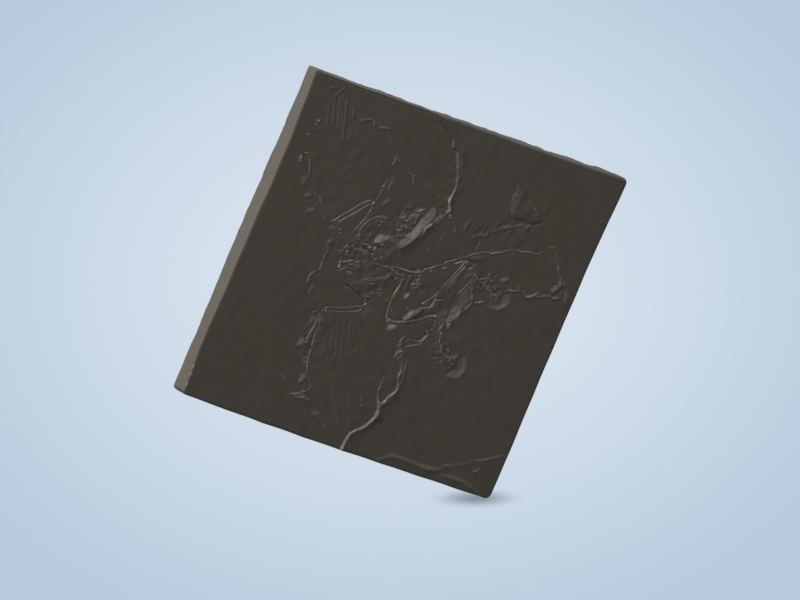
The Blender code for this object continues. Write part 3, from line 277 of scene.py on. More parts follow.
# Rounded folds of the stone: width, height, how beaded, how pale, and line
folds = {
    "leafLeft": (1.5, 0.6, 0.5, 0.4, (
        (313, 160.5), (312, 163.5, 1.3), (309.4, 166.3), (308.8, 169.8, 1.1), (306.4, 174.2, 0.9),
        (304.8, 178.4, 0.6), (304.6, 184, 0.3), (304.4, 196, 0.2), (304.4, 204, 0.5), (305.6, 206.6, 0.9),
        (309, 205.4, 0.8))),
    "leafFold": (1.2, 0.35, 0.4, 0.2, ((309.6, 169.4), (312, 173.6), (310.4, 177.6))),
    "leafKink": (1.3, 0.5, 0.3, 0.4, ((304.6, 198.4), (308.6, 197.4))),
    "leafSpot": (2.2, 0.3, 0.3, 0.4, ((304.6, 209.4), (308.6, 208.6))),
    "leafRight": (4.2, 0.5, 0.15, 0.22, (
        (313.7, 160.5, 0.9), (317.9, 165.5, 1.1), (320.9, 170.4, 1.1), (324, 176, 1.5),
        (326.2, 180.4, 1.6))),
    "leafCorner": (3.4, 0.75, 0.2, 0.35, ((327.6, 182, 1.1), (324.6, 187.2, 1.1), (321.8, 193))),
    "leafBottom": (1.4, 0.5, 0.3, 0.2, ((322.6, 193.8, 0.9), (318.8, 195.6), (315, 197.2, 0.6))),
    "leafLine": (2.4, 0.98, 0.2, 0.34, ((330.1, 181.3, 0.8), (336.9, 179.4, 1.15), (342.7, 177))),
    "tailOutline": (2.7, 0.22, 0.7, 0.15, (
        (290.3, 116.4, 2.0), (297, 110.6, 0.7), (304, 109.8, 1.1), (309, 107, 0.6), (313.5, 102.4, 0.9),
        (319.6, 98.4, 1.5), (324.5, 94.7, 1.6), (331, 92, 0.9), (337.4, 90.4, 0.5), (344.1, 87, 1.6),
        (348.4, 85, 0.9), (352.1, 84.5, 0.5), (357.5, 84, 0.8), (364.7, 81.9, 0.45), (370.5, 79.6, 0.7),
        (374.7, 76.6, 0.9))),
    "tailOutlineSide": (1.8, 0.25, 0.4, 0.15, ((305.6, 90.5), (306.5, 95))),
    "tailOutlineLow": (1.5, 0.47, 0.2, 0.31, ((303.5, 117), (303.8, 127.6))),
    "tailTip": (3.1, 0.34, 0.3, 0.31, (
        (396.9, 98.5, 1.95), (402.7, 96.9, 0.75), (407.5, 99, 0.3), (411.7, 104.6, 0.65), (417, 110, 0.3),
        (421.2, 116.4, 1.9), (425.8, 121.2, 0.45), (430.4, 127, 1.3), (432.4, 130.7, 1.35))),
    "tailLower": (2.9, 0.76, 0.3, 0.38, (
        (368.9, 156.2, 1.25), (377.1, 155.5, 0.8), (386.5, 152.4, 0.35), (394.6, 157),
        (400.7, 154.8, 1.45), (406, 151.4, 1.35), (409.8, 149.3, 0.75))),
    "tailLowerEnd": (2.6, 0.56, 0.3, 0.22, (
        (409.1, 152.6, 1.1), (417.1, 149.8, 1.2), (425.3, 147.3, 1.1), (431.6, 148.8, 1.25),
        (440.6, 144.7, 0.35))),
    "leftFold": (2.8, 0.45, 0.3, 0.27, (
        (110.9, 166.4, 0.5), (108, 170.2, 1.1), (106.8, 173.3, 0.9), (111.1, 178.8, 0.45),
        (110.3, 188, 0.85), (111, 196, 1.25), (111.2, 201.9, 1.25), (106.7, 204.9, 0.7),
        (103.6, 208.8, 1.05), (101.1, 213.5, 0.85), (102.1, 219.6, 2.15))),
    "ribFirst": (2.2, 0.2, 0.2, 0.1, (
        (170, 198.6, 0.8), (178.4, 194.8, 1.4), (190, 191.2), (200, 187, 1.4))),
    "ribSecond": (2.4, 0.35, 0.2, 0.25, ((182.6, 196.4), (190.4, 193.6))),
    "ribThird": (2.6, 0.4, 0.2, 0.3, ((181.6, 201), (189.6, 197.8))),
    "ribFourth": (2.3, 0.22, 0.2, 0.18, ((196.1, 203.8), (205.8, 200))),
    "ribFifth": (2.6, 0.15, 0.2, 0.08, (
        (181.6, 213), (190.3, 209.3, 1.2), (200.2, 206, 0.9), (208, 204, 0.3))),
    "ribSixth": (1.0, 0.58, 0.2, 0.27, ((211.9, 211.8), (218.6, 210.6))),
    "ribCross": (3.4, 0.5, 0.2, 0.25, ((202.2, 182.9), (205, 190))),
    "rockFirst": (3.2, 0.45, 0.4, 0.35, ((205.8, 110, 0.8), (210, 105.8), (215, 103, 0.7))),
    "rockSecond": (2.4, 0.35, 0.4, 0.3, ((206, 112.5), (213, 108))),
    "rockThird": (2.6, 0.4, 0.4, 0.3, ((184.2, 123), (190, 119.6), (195, 116.3))),
    "rockFourth": (3.0, 0.35, 0.4, 0.28, ((191, 124), (201.7, 120))),
    "rockFifth": (2.6, 0.35, 0.4, 0.28, ((188.8, 131.7), (195.8, 128.8))),
    "rockSixth": (2.8, 0.4, 0.4, 0.3, ((191.3, 135), (198, 132))),
    "rockSeventh": (1.6, 0.4, 0.4, 0.4, ((191.7, 138.8), (196.7, 138.8))),
    "rockEighth": (2.2, 0.35, 0.4, 0.3, ((209, 117.5), (207.5, 125), (206.7, 133.3))),
    "rockCrest": (1.8, 0.3, 0.4, 0.25, (
        (183.2, 145, 0.6), (190.1, 142.4, 0.8), (197.5, 139.6), (205.6, 137.6, 1.5))),
    "clawMark": (2.8, 0.42, 0.2, 0.32, (
        (157, 317.4, 0.35), (161.6, 321.8, 0.5), (165.2, 327.3, 0.6), (163.6, 330, 0.6),
        (157.6, 333.6, 1.1), (150.6, 337.6, 1.2), (141.4, 341, 1.1))),
    "clawMarkFoot": (2.0, 0.45, 0.2, 0.4, (
        (146, 341, 0.7), (152.5, 341), (160, 340.4, 1.1), (170, 340, 0.8))),
    "leftEdge": (3.0, 0.4, 0.3, 0.24, (
        (37, 91.6, 0.5), (39.4, 96), (42, 102, 1.3), (44.6, 108), (46.8, 115.4, 0.6))),
    "arc": (1.7, 0.31, 0.2, 0.22, ((252, 106, 0.2), (262, 110, 0.4), (264, 117, 2.4))),
    "dashA": (2.4, 0.35, 0.2, 0.28, ((81.4, 36.4), (86.6, 34.9))),
    "dashB": (1.9, 0.42, 0.2, 0.36, ((86, 33.9, 0.6), (90.8, 32.4, 0.9), (96.4, 30.4, 1.2))),
    "dashC": (2.4, 0.6, 0.2, 0.45, ((99.4, 31.8), (102.8, 37))),
    "dashD": (2.6, 0.63, 0.2, 0.45, ((109.6, 37.2), (113, 35.4), (118, 34))),
    "dashE": (1.8, 0.6, 0.2, 0.45, ((118, 34.2), (124, 34))),
    "dashF": (1.6, 0.25, 0.3, 0.22, (
        (132.2, 43.6, 1.2), (133, 48.6, 0.9), (134, 56, 0.3), (135, 66, 0.12))),
    "dashG": (2.3, 0.56, 0.2, 0.35, ((148.2, 59), (148.4, 70.1))),
    "dashH": (1.8, 0.97, 0.2, 0.51, ((152.2, 61.9), (154.7, 62.7))),
    "dashI": (2.0, 0.41, 0.2, 0.36, ((168, 73, 0.25), (175, 72.5, 0.5), (181.5, 74.2, 2.25))),
    "dashJ": (1.9, 0.74, 0.2, 0.51, ((181.4, 76.9), (185.5, 80.5))),
    "dashK": (4.4, 0.4, 0.5, 0.14, ((280.5, 98.6, 0.8), (276.9, 104), (276.4, 112, 0.7))),
    "dashL": (4.0, 0.22, 0.4, 0.1, ((242.4, 141), (242.6, 149))),
    "dashM": (4.4, 0.22, 0.4, 0.1, ((253.6, 121), (252.6, 128, 0.7), (254, 136))),
    "crackDashFirst": (1.2, 0.7, 0.1, 0.6, (
        (253.4, 306.4, 1.1), (253.8, 299, 1.0), (253.8, 292.4, 0.7), (252.6, 287.6, 0.4))),
    "crackDashSecond": (1.5, 0.31, 0.1, 0.18, ((260.6, 273.9), (257.8, 282.8))),
    "crackDashThird": (1.8, 0.29, 0.1, 0.26, ((236.7, 317), (236.7, 324))),
    "crackLightTop": (1.6, 0.31, 0.1, 0.35, ((175.5, 6.9), (183.5, 6.5))),
    "crackLightMid": (3.0, 0.45, 0.2, 0.34, ((213.6, 24.2), (217, 31))),
    "edgeBitFirst": (1.9, 0.7, 0.2, 0.45, ((24.4, 51), (27, 52), (29, 49.6, 1.1))),
    "edgeBitSecond": (2.4, 0.6, 0.2, 0.4, ((27.4, 53.4), (27, 57))),
    "edgeBitThird": (3.0, 0.5, 0.3, 0.4, ((19.4, 68.6, 1.2), (22, 69), (25.4, 71, 0.8))),
    "edgeBitFourth": (3.9, 0.6, 0.5, 0.4, (
        (21.4, 96.4, 0.5), (24.6, 95, 1.2), (25.6, 98, 1.0), (27.4, 102, 0.4))),
    "lowDashA": (1.8, 0.15, 0.2, 0.12, ((47.5, 205, 0.3), (53.8, 207.5, 1.5), (61.3, 211.3, 1.2))),
    "lowDashB": (1.8, 0.12, 0.2, 0.03, ((62.5, 222.5), (65, 230))),
    "lowDashC": (2.6, 0.22, 0.2, 0.18, (
        (108.8, 321.9, 0.65), (116.3, 324.4, 0.8), (125, 325.6, 1.6), (124.4, 328.8, 0.95))),
    "lowDashD": (1.7, 0.2, 0.3, 0.18, (
        (190, 353.4), (196, 356.4, 0.8), (201.3, 359.6), (209, 363.4, 0.8), (216.4, 367.6))),
    "plateBitA": (2.0, 0.26, 0.2, 0.22, ((322.5, 43.1), (325.2, 52.9))),
    "plateBitB": (1.8, 0.45, 0.2, 0.55, ((354.7, 62.5), (356, 64.7))),
    "plateBitC": (2.3, 0.23, 0.2, 0.23, ((345.1, 59.2, 1.15), (350, 59.5, 0.3), (366, 69, 1.55))),
    "crackLink": (1.6, 0.5, 0.2, 0.55, ((260.4, 317.8), (264, 317.6), (268, 315.4))),
    "edgeBitFifth": (2.2, 0.45, 0.2, 0.35, ((31.8, 68.8), (34.4, 68.2))),
    "edgeBitSixth": (1.6, 0.45, 0.3, 0.35, ((27.6, 89.4), (31.4, 88.2, 1.1), (35, 91, 0.8))),
    "lowDashE": (4.0, 0.35, 0.5, 0.35, ((180.6, 353, 0.8), (185, 352), (189.6, 351.4))),
    "lowDashF": (3.0, 0.25, 0.5, 0.25, ((202, 361), (206.6, 362))),
    "tailLowerStart": (3.4, 0.3, 0.3, 0.12, ((357, 165.6, 0.8), (362, 160.4), (369.4, 156.8, 1.2))),
    "tailLowerBump": (3.6, 0.3, 0.3, 0.12, ((377, 147, 0.6), (380.4, 151), (384, 154, 0.8))),
}

# Prints of feathers, faint and thin: width, height and the line it follows
feathers = {
    "tipCross": (2.4, 0.44, ((43.2, 7.2, 0.7), (40.6, 13.2), (37.6, 17.8, 0.8), (33.2, 23.6))),
    "tipBranch": (2.2, 0.39, ((22.8, 15.8, 0.7), (27.2, 13.2), (32.6, 11.6, 0.6))),
    "tipStub": (1.8, 0.26, ((27.2, 16.8), (29.8, 21.6))),
    "tipFaint": (2.2, 0.18, ((23.2, 30.8), (29.6, 28.2))),
    "tipFirst": (2.4, 0.26, ((32.8, 28.2, 0.7), (36.6, 41.2), (39.6, 51.6), (42.2, 59.2, 0.6))),
    "tipSecond": (2.6, 0.29, ((36.8, 23.8), (42.2, 36.2), (48, 48.8), (50.2, 55.2, 0.5))),
    "tipThird": (2.6, 0.39, (
        (41.8, 17.2, 1.1), (45.2, 25.2), (48.6, 33.6), (52.6, 43.8), (56.8, 54.6, 0.6))),
    "tipFourth": (2.4, 0.29, ((45.2, 15.8), (51.8, 32.2), (56.2, 42.2, 0.7), (60.2, 52.2, 0.5))),
    "tipFifth": (2.8, 0.44, (
        (52.2, 19.2, 1.2), (55.6, 27.2), (59.6, 37.2, 0.8), (63.6, 47.6, 0.8), (67.6, 58.2, 0.9),
        (70.2, 65.8, 0.6))),
    "tipSixth": (3.4, 0.39, ((66.2, 27.8), (68.8, 33.2, 1.1), (71.8, 39.2, 0.6))),
    "tipSeventh": (2.6, 0.26, ((72.2, 42.2), (74.6, 50.2, 0.8), (76.6, 57.2, 1.1), (77.2, 64.2, 0.7))),
    "tipEighth": (2.2, 0.12, ((60.6, 47.2), (63.2, 55.2), (66, 63.2))),
    "lowFirst": (3.0, 0.2, ((162.2, 257.2), (164.8, 267.2), (168.2, 277.2), (171.8, 285.8))),
    "lowSecond": (3.0, 0.24, (
        (166.2, 252.8), (170.2, 263.2), (174.2, 273.2), (178.2, 284.2), (181.6, 293.2, 0.7))),
    "lowThird": (2.8, 0.22, ((171.8, 247.8), (176.2, 258.8), (181.6, 271.2), (186.2, 282.2, 0.5))),
    "lowFourth": (2.6, 0.3, (
        (179.6, 243, 1.2), (181.8, 249.2), (185.6, 258.2, 0.8), (191.2, 270.8, 0.5))),
    "lowFifth": (2.6, 0.26, ((185.8, 246.8), (188.8, 251.8, 1.1), (192, 257.2))),
    "lowSixth": (2.6, 0.2, ((193.8, 246.8), (197.8, 254.6))),
    "lowSeventh": (3.0, 0.14, ((155.8, 263.2), (158.2, 275.2), (162.2, 288.2), (166.2, 297.2, 0.6))),
    "lowEighth": (3.0, 0.12, ((173.2, 292.2), (180.2, 306.2), (187.2, 319.2, 0.6))),
    "lowNinth": (3.2, 0.28, (
        (189.6, 314.2, 0.8), (197.8, 326.2), (205.2, 335.8), (213.2, 344.6, 0.9), (219.2, 352.2, 0.8),
        (225.2, 360.2, 0.5))),
    "lowTenth": (3.2, 0.22, ((216.8, 316.8), (222.2, 327.2), (228.2, 337.6))),
    "lowLast": (2.4, 0.3, ((233.2, 348.2), (237.6, 355.2))),
    "lowFaint": (2.6, 0.12, ((230.8, 303.8), (236.6, 316.2))),
    "lowFaintLeft": (3.0, 0.1, ((199.2, 263.2), (206.2, 279.2), (212.2, 293.2))),
}

# Steps of broken stone: wall width, or one for each point of the crest, length of the fall behind it,
# height, how pale, the side the wall faces, and the crest
steps = {
    "crackLower": (3.1, 16, 0.87, 0.79, (-1.0, 0.0), (
        (238.6, 394, 2.0), (239, 378, 1.6), (239.2, 371.7, 0.95), (241, 363.9), (242.4, 358.9, 1.1),
        (248.2, 355, 0.85), (253.9, 351, 0.9), (258.4, 346.7, 0.85), (262, 340.6, 1.05),
        (264.9, 333.9, 1.05), (266, 328.3, 0.75), (263.8, 321.7, 0.55), (261.6, 317.8, 0.65),
        (257.4, 311.7, 0.3), (254.6, 306.5, 0.3), (252.6, 300, 0.2))),
    "crackBranch": (2.0, 10, 0.53, 0.57, (-0.9, -0.44), (
        (262, 325, 0.7), (266.4, 319.8, 0.9), (268.3, 315.1, 1.5), (270.4, 311.2, 1.15),
        (273, 306.8, 1.3), (277, 302.5, 1.5), (278, 298.1, 1.1), (276.4, 293.1, 0.85),
        (273.6, 288.3, 0.5), (271.8, 284, 1.4), (273.4, 278.8, 1.1), (272.4, 275.2, 0.65),
        (270, 270.7, 0.5), (269.4, 265, 0.25))),
    "crackStrand": (1.9, 6, 0.25, 0.25, (-1.0, 0.0), (
        (279.6, 300, 0.8), (279.6, 291, 1.05), (278.6, 283.4, 1.25), (277.2, 277.2, 1.4), (275.8, 270),
        (274.8, 262, 0.45))),
    "crackUpper": (2.2, 13, 0.66, 0.5, (-0.94, 0.34), (
        (222, 30, 0.4), (225.4, 34.4, 0.6), (229, 40, 0.8), (231.8, 46, 1.0), (235.2, 51.4, 0.6),
        (238.6, 58, 0.75), (241.2, 66.4, 0.8), (242.5, 72, 1.0), (241.4, 78.4, 1.5), (240.6, 84.5, 1.4),
        (243, 92, 1.2))),
    "crackWedge": (3.8, 7, 0.68, 0.8, (-1.0, 0.0), (
        (239.6, 79, 0.4), (241.7, 86, 1.3), (244.6, 90.5, 0.85), (247, 94.6, 0.9), (245.4, 98.5, 1.1),
        (244, 103.5, 0.6))),
    "crackCorner": (1.8, 5, 0.15, 0.0, (0.55, 0.83), (
        (172, 4.6, 2.5), (187, 8.4, 0.55), (195, 11.2, 0.55), (206, 17.6, 0.55), (213.3, 23.5, 0.85))),
    "crackThin": (1.2, 9, 0.22, 0.27, (-0.45, -0.89), (
        (376.9, 361, 1.95), (390.7, 357.5, 0.65), (402.5, 353.4, 0.65), (409.5, 349.3, 0.55),
        (417.1, 345.2, 0.55), (429.8, 340.9, 1.8), (439.9, 336.2, 1.15), (452.1, 329.4, 1.15),
        (458.6, 328.6, 0.55))),
    "crackThinShort": (1.9, 4, 0.47, 0.48, (-0.45, -0.89), (
        (422, 357.4, 1.75), (423.5, 356, 1.65), (429.5, 352, 0.4), (434.6, 350, 0.2))),
    "riser": ((3, 8, 11, 11.5, 10.5, 9.5, 9, 9.5, 10.5, 10, 8), 16, 1.35, 0.78, (-0.9, -0.44), (
        (224.6, 94.5, 0.3), (228.8, 101, 0.55), (229.3, 108, 0.65), (225.8, 117, 0.8), (221.4, 125, 0.85),
        (218.4, 130.8, 0.9), (215.6, 138.3), (211.6, 144, 0.95), (207.5, 148.2, 0.8), (202.6, 152.2, 0.5),
        (198, 156, 0.25))),
    "riserLeft": (7.5, 10, 0.3, 0.25, (-0.5, -0.87), (
        (176, 153, 0.8), (182, 150.5), (188, 148.6), (195, 148, 0.8), (202, 147.5, 0.6))),
    "blobStep": ((2, 4.6, 8, 8, 5.5, 4.5), 6, 1.0, 0.9, (-0.49, -0.87), (
        (163.4, 157, 0.6), (167.4, 155.2), (172.4, 153.6, 1.1), (176.6, 151.6, 0.85), (181, 147.8, 0.6),
        (188, 143.8, 0.3))),
    "secondStep": (2.2, 5, 0.7, 0.75, (-0.9, -0.44), (
        (234.4, 113.6, 0.6), (230.6, 117.2, 1.1), (226.8, 121), (224.6, 124.6, 0.9), (225, 129.4, 0.6),
        (223.6, 135, 0.4))),
    "slope": ((3, 4.5, 6.5, 7, 6.6, 5.4, 4), 9, 0.95, 0.62, (-0.87, -0.5), (
        (268, 201.5, 0.3), (266, 206, 0.5), (262.6, 210.5, 0.8), (258.4, 215.4), (253.4, 220.4, 1.1),
        (248.6, 224), (243.6, 227, 0.5))),
    "leafFoot": (6.0, 4, 0.4, 0.2, (-0.9, -0.44), (
        (319, 191), (317.6, 199), (312.5, 206.5), (306.4, 212))),
    "leafPlate": (5, 5, 0.25, 0.15, (-0.5, -0.87), ((305, 201), (298, 205), (290, 208.5))),
    "bottomStep": (4.4, 7, 0.46, 0.21, (0.0, -1.0), (
        (288, 377.9, 2), (292.5, 377.2, 1.1), (300, 373.7, 0.5), (308.8, 368.4, 0.8), (320, 368.9, 1.15),
        (335, 369.3, 0.75), (350, 369.7, 0.95), (362.5, 369.5, 1.3), (371.3, 368.3), (384, 365.4, 0.45))),
    "bottomStepRight": (4.2, 6, 0.28, 0.14, (0.0, -1.0), (
        (377, 372.2, 0.3), (390, 371.4, 1.1), (405, 370.2, 1.65), (417.5, 370.7, 1.35),
        (425, 373.6, 1.05), (440, 376, 0.55), (444, 376.4))),
    "bowlLip": (9.5, 5, 0.46, 0.46, (-0.5, -0.87), (
        (376.7, 169.4, 1.3), (374.4, 172.4), (370.3, 176.2, 0.6), (365.7, 180.2, 0.65),
        (358.9, 181.8, 0.45), (349, 182.4, 1.4))),
    "lowerBowlLip": (4.2, 4, 0.14, 0.13, (-0.5, -0.87), (
        (358, 252, 0.65), (355.8, 257.9, 1.05), (350.9, 263.1, 1.3), (345.9, 267, 1.2), (336.9, 267, 1.1),
        (329, 268, 0.7))),
    "plateLeft": (4.9, 22, 0.51, 0.51, (-1.0, 0.1), (
        (325.7, 50.1, 1.3), (325, 58.7, 0.45), (326.7, 65.1, 0.4), (328.3, 71.5, 0.25),
        (330.2, 79, 2.6))),
    "farLegSlope": (7, 6, 0.3, 0.1, (-0.8, -0.6), ((297, 163), (293, 172), (286, 182))),
    "trunkSlope": (7, 6, 0.22, 0.12, (-0.9, -0.44), ((199, 150), (196, 158), (190, 171))),
    "tailSlope": (7, 5, 0.5, 0.4, (-0.7, -0.7), ((438, 127), (434, 134), (424, 146))),
    "ribStep": (3.4, 12, 0.26, 0.12, (-0.4, -0.92), (
        (162.6, 206.4, 0.6), (170, 201.6), (178, 197.4, 1.2), (190, 193.4), (200, 189.4, 1.2),
        (207, 185.4, 0.6))),
    "ribStepLow": (4.4, 7, 0.24, 0.14, (-0.4, -0.92), (
        (178, 217.6, 0.6), (184, 215, 1.1), (192, 211.8), (201, 208.8, 1.1), (209, 206, 0.5))),
}

# Wide shallow forms: the outline, height, width of the sloping edge, and how pale it is
plates = {
    "threeSided": ((
        (326, 52), (357.5, 61), (375, 72.5), (368, 77.5), (341, 80.8), (330, 80)), 0.45, 3.0, 0.0),
    "upperBowl": ((
        (360, 156), (373.3, 159.5), (376, 169), (372, 177), (362, 181), (353, 179.5), (351.5, 175.5),
        (360, 172), (358, 163)), -0.75, 5.0, 0.2),
    "lowerBowl": ((
        (337, 237), (346.7, 236.5), (352.7, 243.3), (356, 251), (355.5, 258), (351, 264), (342, 267.4),
        (331.7, 266), (331, 258), (340, 253)), -0.8, 5.5, 0.2),
    "oval": ((
        (300.5, 137), (303, 133), (309, 130.6), (316, 130.2), (319, 132.6), (315, 136.6),
        (307, 139)), 0.35, 2.4, 0.1),
    "clawA": ((
        (122, 288), (123, 281), (128, 276.5), (131, 280), (137, 281), (131, 285),
        (127, 289)), 0.4, 1.8, 0.5),
    "clawB": ((
        (144.6, 317), (148, 315), (154, 314.6), (154, 320), (150.6, 324.6),
        (145.4, 325.6)), 0.4, 1.6, 0.42),
    "clawC": (((50, 134), (52, 130), (59, 129), (60, 131), (56, 134.5)), 0.4, 1.5, 0.4),
    "clawD": (((60, 150), (62, 143), (70, 141), (73.5, 143.5), (70, 147), (64, 150.5)), 0.4, 1.8, 0.4),
    "lightPlate": ((
        (349.5, 147.5), (355, 145), (362, 143.5), (361.6, 147.4), (357, 151.4),
        (351, 151)), 0.45, 1.8, 0.5),
    "handPatch": (((101, 153), (109, 152.5), (109, 157), (101.5, 157.5)), 0.35, 1.5, 0.3),
    "stonePatchA": ((
        (154, 111), (157.5, 107), (163, 104.4), (165, 108), (161, 112.4), (155, 117.6)), 0.34, 2.4, 0.28),
    "stonePatchB": ((
        (152, 81), (159, 82), (159.6, 90), (156.4, 101), (153.4, 103), (153, 93)), 0.3, 2.8, 0.24),
    "stonePatchC": (((107, 219), (112.5, 219), (115, 226), (113.5, 235), (110, 233.5)), 0.3, 2.4, 0.14),
    "lumpPatch": ((
        (253, 248), (259, 248), (263, 255), (267, 262), (263, 267.5), (257, 266),
        (254, 258)), 0.3, 2.5, 0.32),
    "toePatch": (((333, 240), (338.5, 241), (339, 247), (334, 247)), 0.35, 1.8, 0.35),
    "leafUpper": ((
        (305, 180), (307, 175), (311, 169), (313.5, 163), (317, 168), (320, 175), (323, 183), (320, 191),
        (314, 195), (305, 196), (304.5, 186)), 0.1, 2.5, 0.26),
    "leafLower": ((
        (304.2, 193), (309, 190), (314, 190.5), (317, 196), (318.5, 203), (316.4, 207.6), (311.6, 209.6),
        (312.6, 218.6), (307.4, 219), (303.4, 211)), 0.28, 2.2, 0.68),
    "leafTail": ((
        (289, 206.6), (296, 203), (303, 201), (304, 212), (302, 221), (299, 226.4), (291, 223.4),
        (288.6, 214)), 0.1, 2.5, 0.18),
    "shinPatch": ((
        (289, 165), (293, 159), (292, 170), (289, 179), (283, 181), (285, 172)), 0.15, 3, 0.16),
    "kneePatch": (((301.5, 159), (304.6, 154), (310, 151.5), (312, 155), (305, 161)), 0.25, 2, 0.34),
    "cheekPatch": (((157, 168), (163, 167.5), (164, 172), (160, 175), (156.5, 173)), 0.2, 2, 0.18),
    "jawLump": (((157, 184.5), (162, 184), (162.5, 188), (158, 189)), 0.3, 1.8, 0.2),
    "wingGlow": ((
        (191, 221), (198, 219), (206, 224), (204, 232), (196, 240), (188, 236),
        (190, 229)), 0.12, 5, 0.16),
    "handArea": (((172, 154), (180, 153), (181, 156), (173, 157)), 0.35, 1.4, 0.5),
    "rockZone": ((
        (186, 104), (203, 101), (216, 103), (214, 118), (209, 136), (196, 141), (186, 136),
        (183, 118)), 0.1, 6.0, 0.1),
    "secondPatch": ((
        (243.4, 101), (245.5, 103.6), (242, 110), (236, 115.4), (231, 115), (231.6, 108.4),
        (237, 103.4)), 0.4, 2.2, 0.5),
    "ribPlate": ((
        (162, 202), (170, 197), (178, 193), (190, 189.5), (200, 186), (205, 189), (197, 197), (187, 202),
        (176, 206), (165, 209)), 0.12, 3.0, 0.1),
    "footGlow": ((
        (296, 221), (303, 222), (309.6, 234), (316, 243), (314, 252.6), (307.4, 253),
        (303, 240)), 0.1, 3.0, 0.12),
    "bowlGlow": ((
        (345, 168), (352, 162.5), (361, 160), (370, 163), (374, 170), (366, 179),
        (350, 180)), 0.05, 3.0, 0.13),
    "crackTopPatch": ((
        (225.6, 33.6), (230.4, 34), (237.4, 43), (241.6, 51), (241, 58.6), (236.4, 50.6),
        (231.4, 44)), 0.16, 2.0, 0.2),
    "crackFork": ((
        (261, 317.4), (267.4, 316.8), (269.6, 324), (268.8, 332), (266, 337),
        (263.6, 328)), 0.2, 2.0, 0.3),
    "crackFill": ((
        (273.4, 288), (279.6, 286), (280.6, 294), (279, 301), (275, 304), (277.4, 297)), 0.12, 1.6, 0.2),
    "edgePatch": (((38.6, 114.4), (44, 113), (46.6, 117.4), (44, 123), (39, 123.4)), 0.25, 1.8, 0.2),
    "clawGlow": ((
        (140.4, 341.4), (150, 335.4), (158, 335), (166, 338), (171, 340), (160, 342),
        (150, 342.4)), 0.2, 2.2, 0.36),
}

# Soft lumps of the stone: across, down, half sizes, height, turn in degrees and how pale
swells = {
    "blobFoot": (175.5, 156, 5.4, 2.2, 0.4, 0, 0.45), "blobLow": (171, 161, 3.2, 2.6, 0.6, 0, 0.7),
    "blobSide": (163, 161.5, 3.0, 2.6, 0.5, 0, 0.5), "rockBumpA": (203, 113, 4.6, 3.2, 0.35, 25, 0.3),
    "rockBumpB": (195, 121, 5.0, 3.4, 0.4, 20, 0.42), "rockBumpC": (192, 134, 4.5, 3.2, 0.45, 0, 0.45),
    "rockBumpD": (199.5, 129, 4.6, 3.0, 0.4, -20, 0.4), "rockBumpE": (208, 107, 5.4, 3.2, 0.5, 40, 0.5),
    "rockBumpF": (186.5, 126.5, 4.0, 3.0, 0.4, 0, 0.35),
    "bellyGlow": (238.4, 199, 6.4, 4.2, 0.9, 38, 1.0), "legGlow": (257, 191, 9, 5, 0.25, 30, 0.15),
    "kneeGlow": (236.8, 236, 11.0, 4.4, 0.85, 19, 1.0),
    "wedgePatch": (250.4, 102.2, 4.6, 3.2, 0.4, -50, 0.45),
    "slopeGlow": (252.4, 215.4, 8.0, 4.4, 0.5, 46, 1.0), "ribLump": (162.6, 205, 4, 5.2, 0.3, 10, 0.15),
    "tailStreak": (446, 142.4, 9.5, 4.0, 0.4, -60, 0.34),
    "topSpot": (205.4, 76.8, 4.2, 2.8, 0.3, -10, 0.35),
}

# Broken places: across, down, radii, height of the roughness and size of its lumps
roughZones = {
    "rock": (199, 121, 22, 24, 0.58, 4.4), "crackTop": (232, 42, 5, 11, 0.3, 2.6),
    "loosePatch": (260, 258, 10, 14, 0.37, 3.6), "tailEnd": (430, 137, 16, 16, 0.27, 4.6),
    "foot": (316, 240, 26, 24, 0.22, 4.4), "skull": (147, 176, 30, 26, 0.34, 4.0),
    "pelvis": (240, 180, 22, 20, 0.27, 4.2), "trunk": (196, 196, 42, 34, 0.26, 6.0),
    "farFoot": (335, 158, 30, 18, 0.31, 4.4), "hand": (138, 262, 26, 44, 0.2, 5.5),
    "neck": (160, 145, 34, 34, 0.22, 6.5), "upperWing": (70, 90, 60, 80, 0.12, 8.0),
    "legs": (285, 205, 60, 44, 0.17, 7.0), "crackBottom": (258, 320, 34, 70, 0.17, 6.5),
    "tailTop": (345, 80, 60, 46, 0.14, 8.0), "bowls": (345, 240, 46, 60, 0.12, 7.0),
    "leftFold": (105, 190, 20, 50, 0.2, 6.0), "crackBand": (236, 66, 22, 50, 0.2, 6.0),
    "lowerWing": (175, 275, 50, 50, 0.1, 9.0), "whole": (230, 190, 330, 280, 0.08, 13.0),
    "tailEdgeA": (304, 107, 16, 9, 0.3, 3.2), "tailEdgeB": (328, 93, 18, 9, 0.36, 3.2),
    "tailEdgeC": (354, 84, 18, 8, 0.3, 3.2), "blobSide": (176, 158, 16, 10, 0.3, 3.4),
}


# How the tables above are cut into the face, in mm or as a part of a feature's own height
carving = {
    "bends": ((6.5, 0.55), (2.6, 0.25)),    # lumps that bend the folds and steps: size, and how far
    "beading": ((1.7, 0.5), (5.5, 0.8)),    # lumps along a line: size and strength
    "boneChips": 0.2, "foldChips": 0.5,     # how uneven the top of a line is
    "moatDepth": 0.34, "knobMoat": 0.25,    # how deep the stone is cleared round a bone
    "featherPale": 0.34,                    # how pale a print is for each mm of its height
    "stepEnd": 7.0,                         # a step fades out over this length at its ends
    "noiseCells": 255, "noiseStart": 60.5,  # lumps repeat after so many cells; where the face begins
}


def smooth(low, high, x):  # from 0 at low to 1 at high, eased at both ends
    t = np.clip((x - low) / (high - low), 0, 1)
    return t * t * (3 - 2 * t)


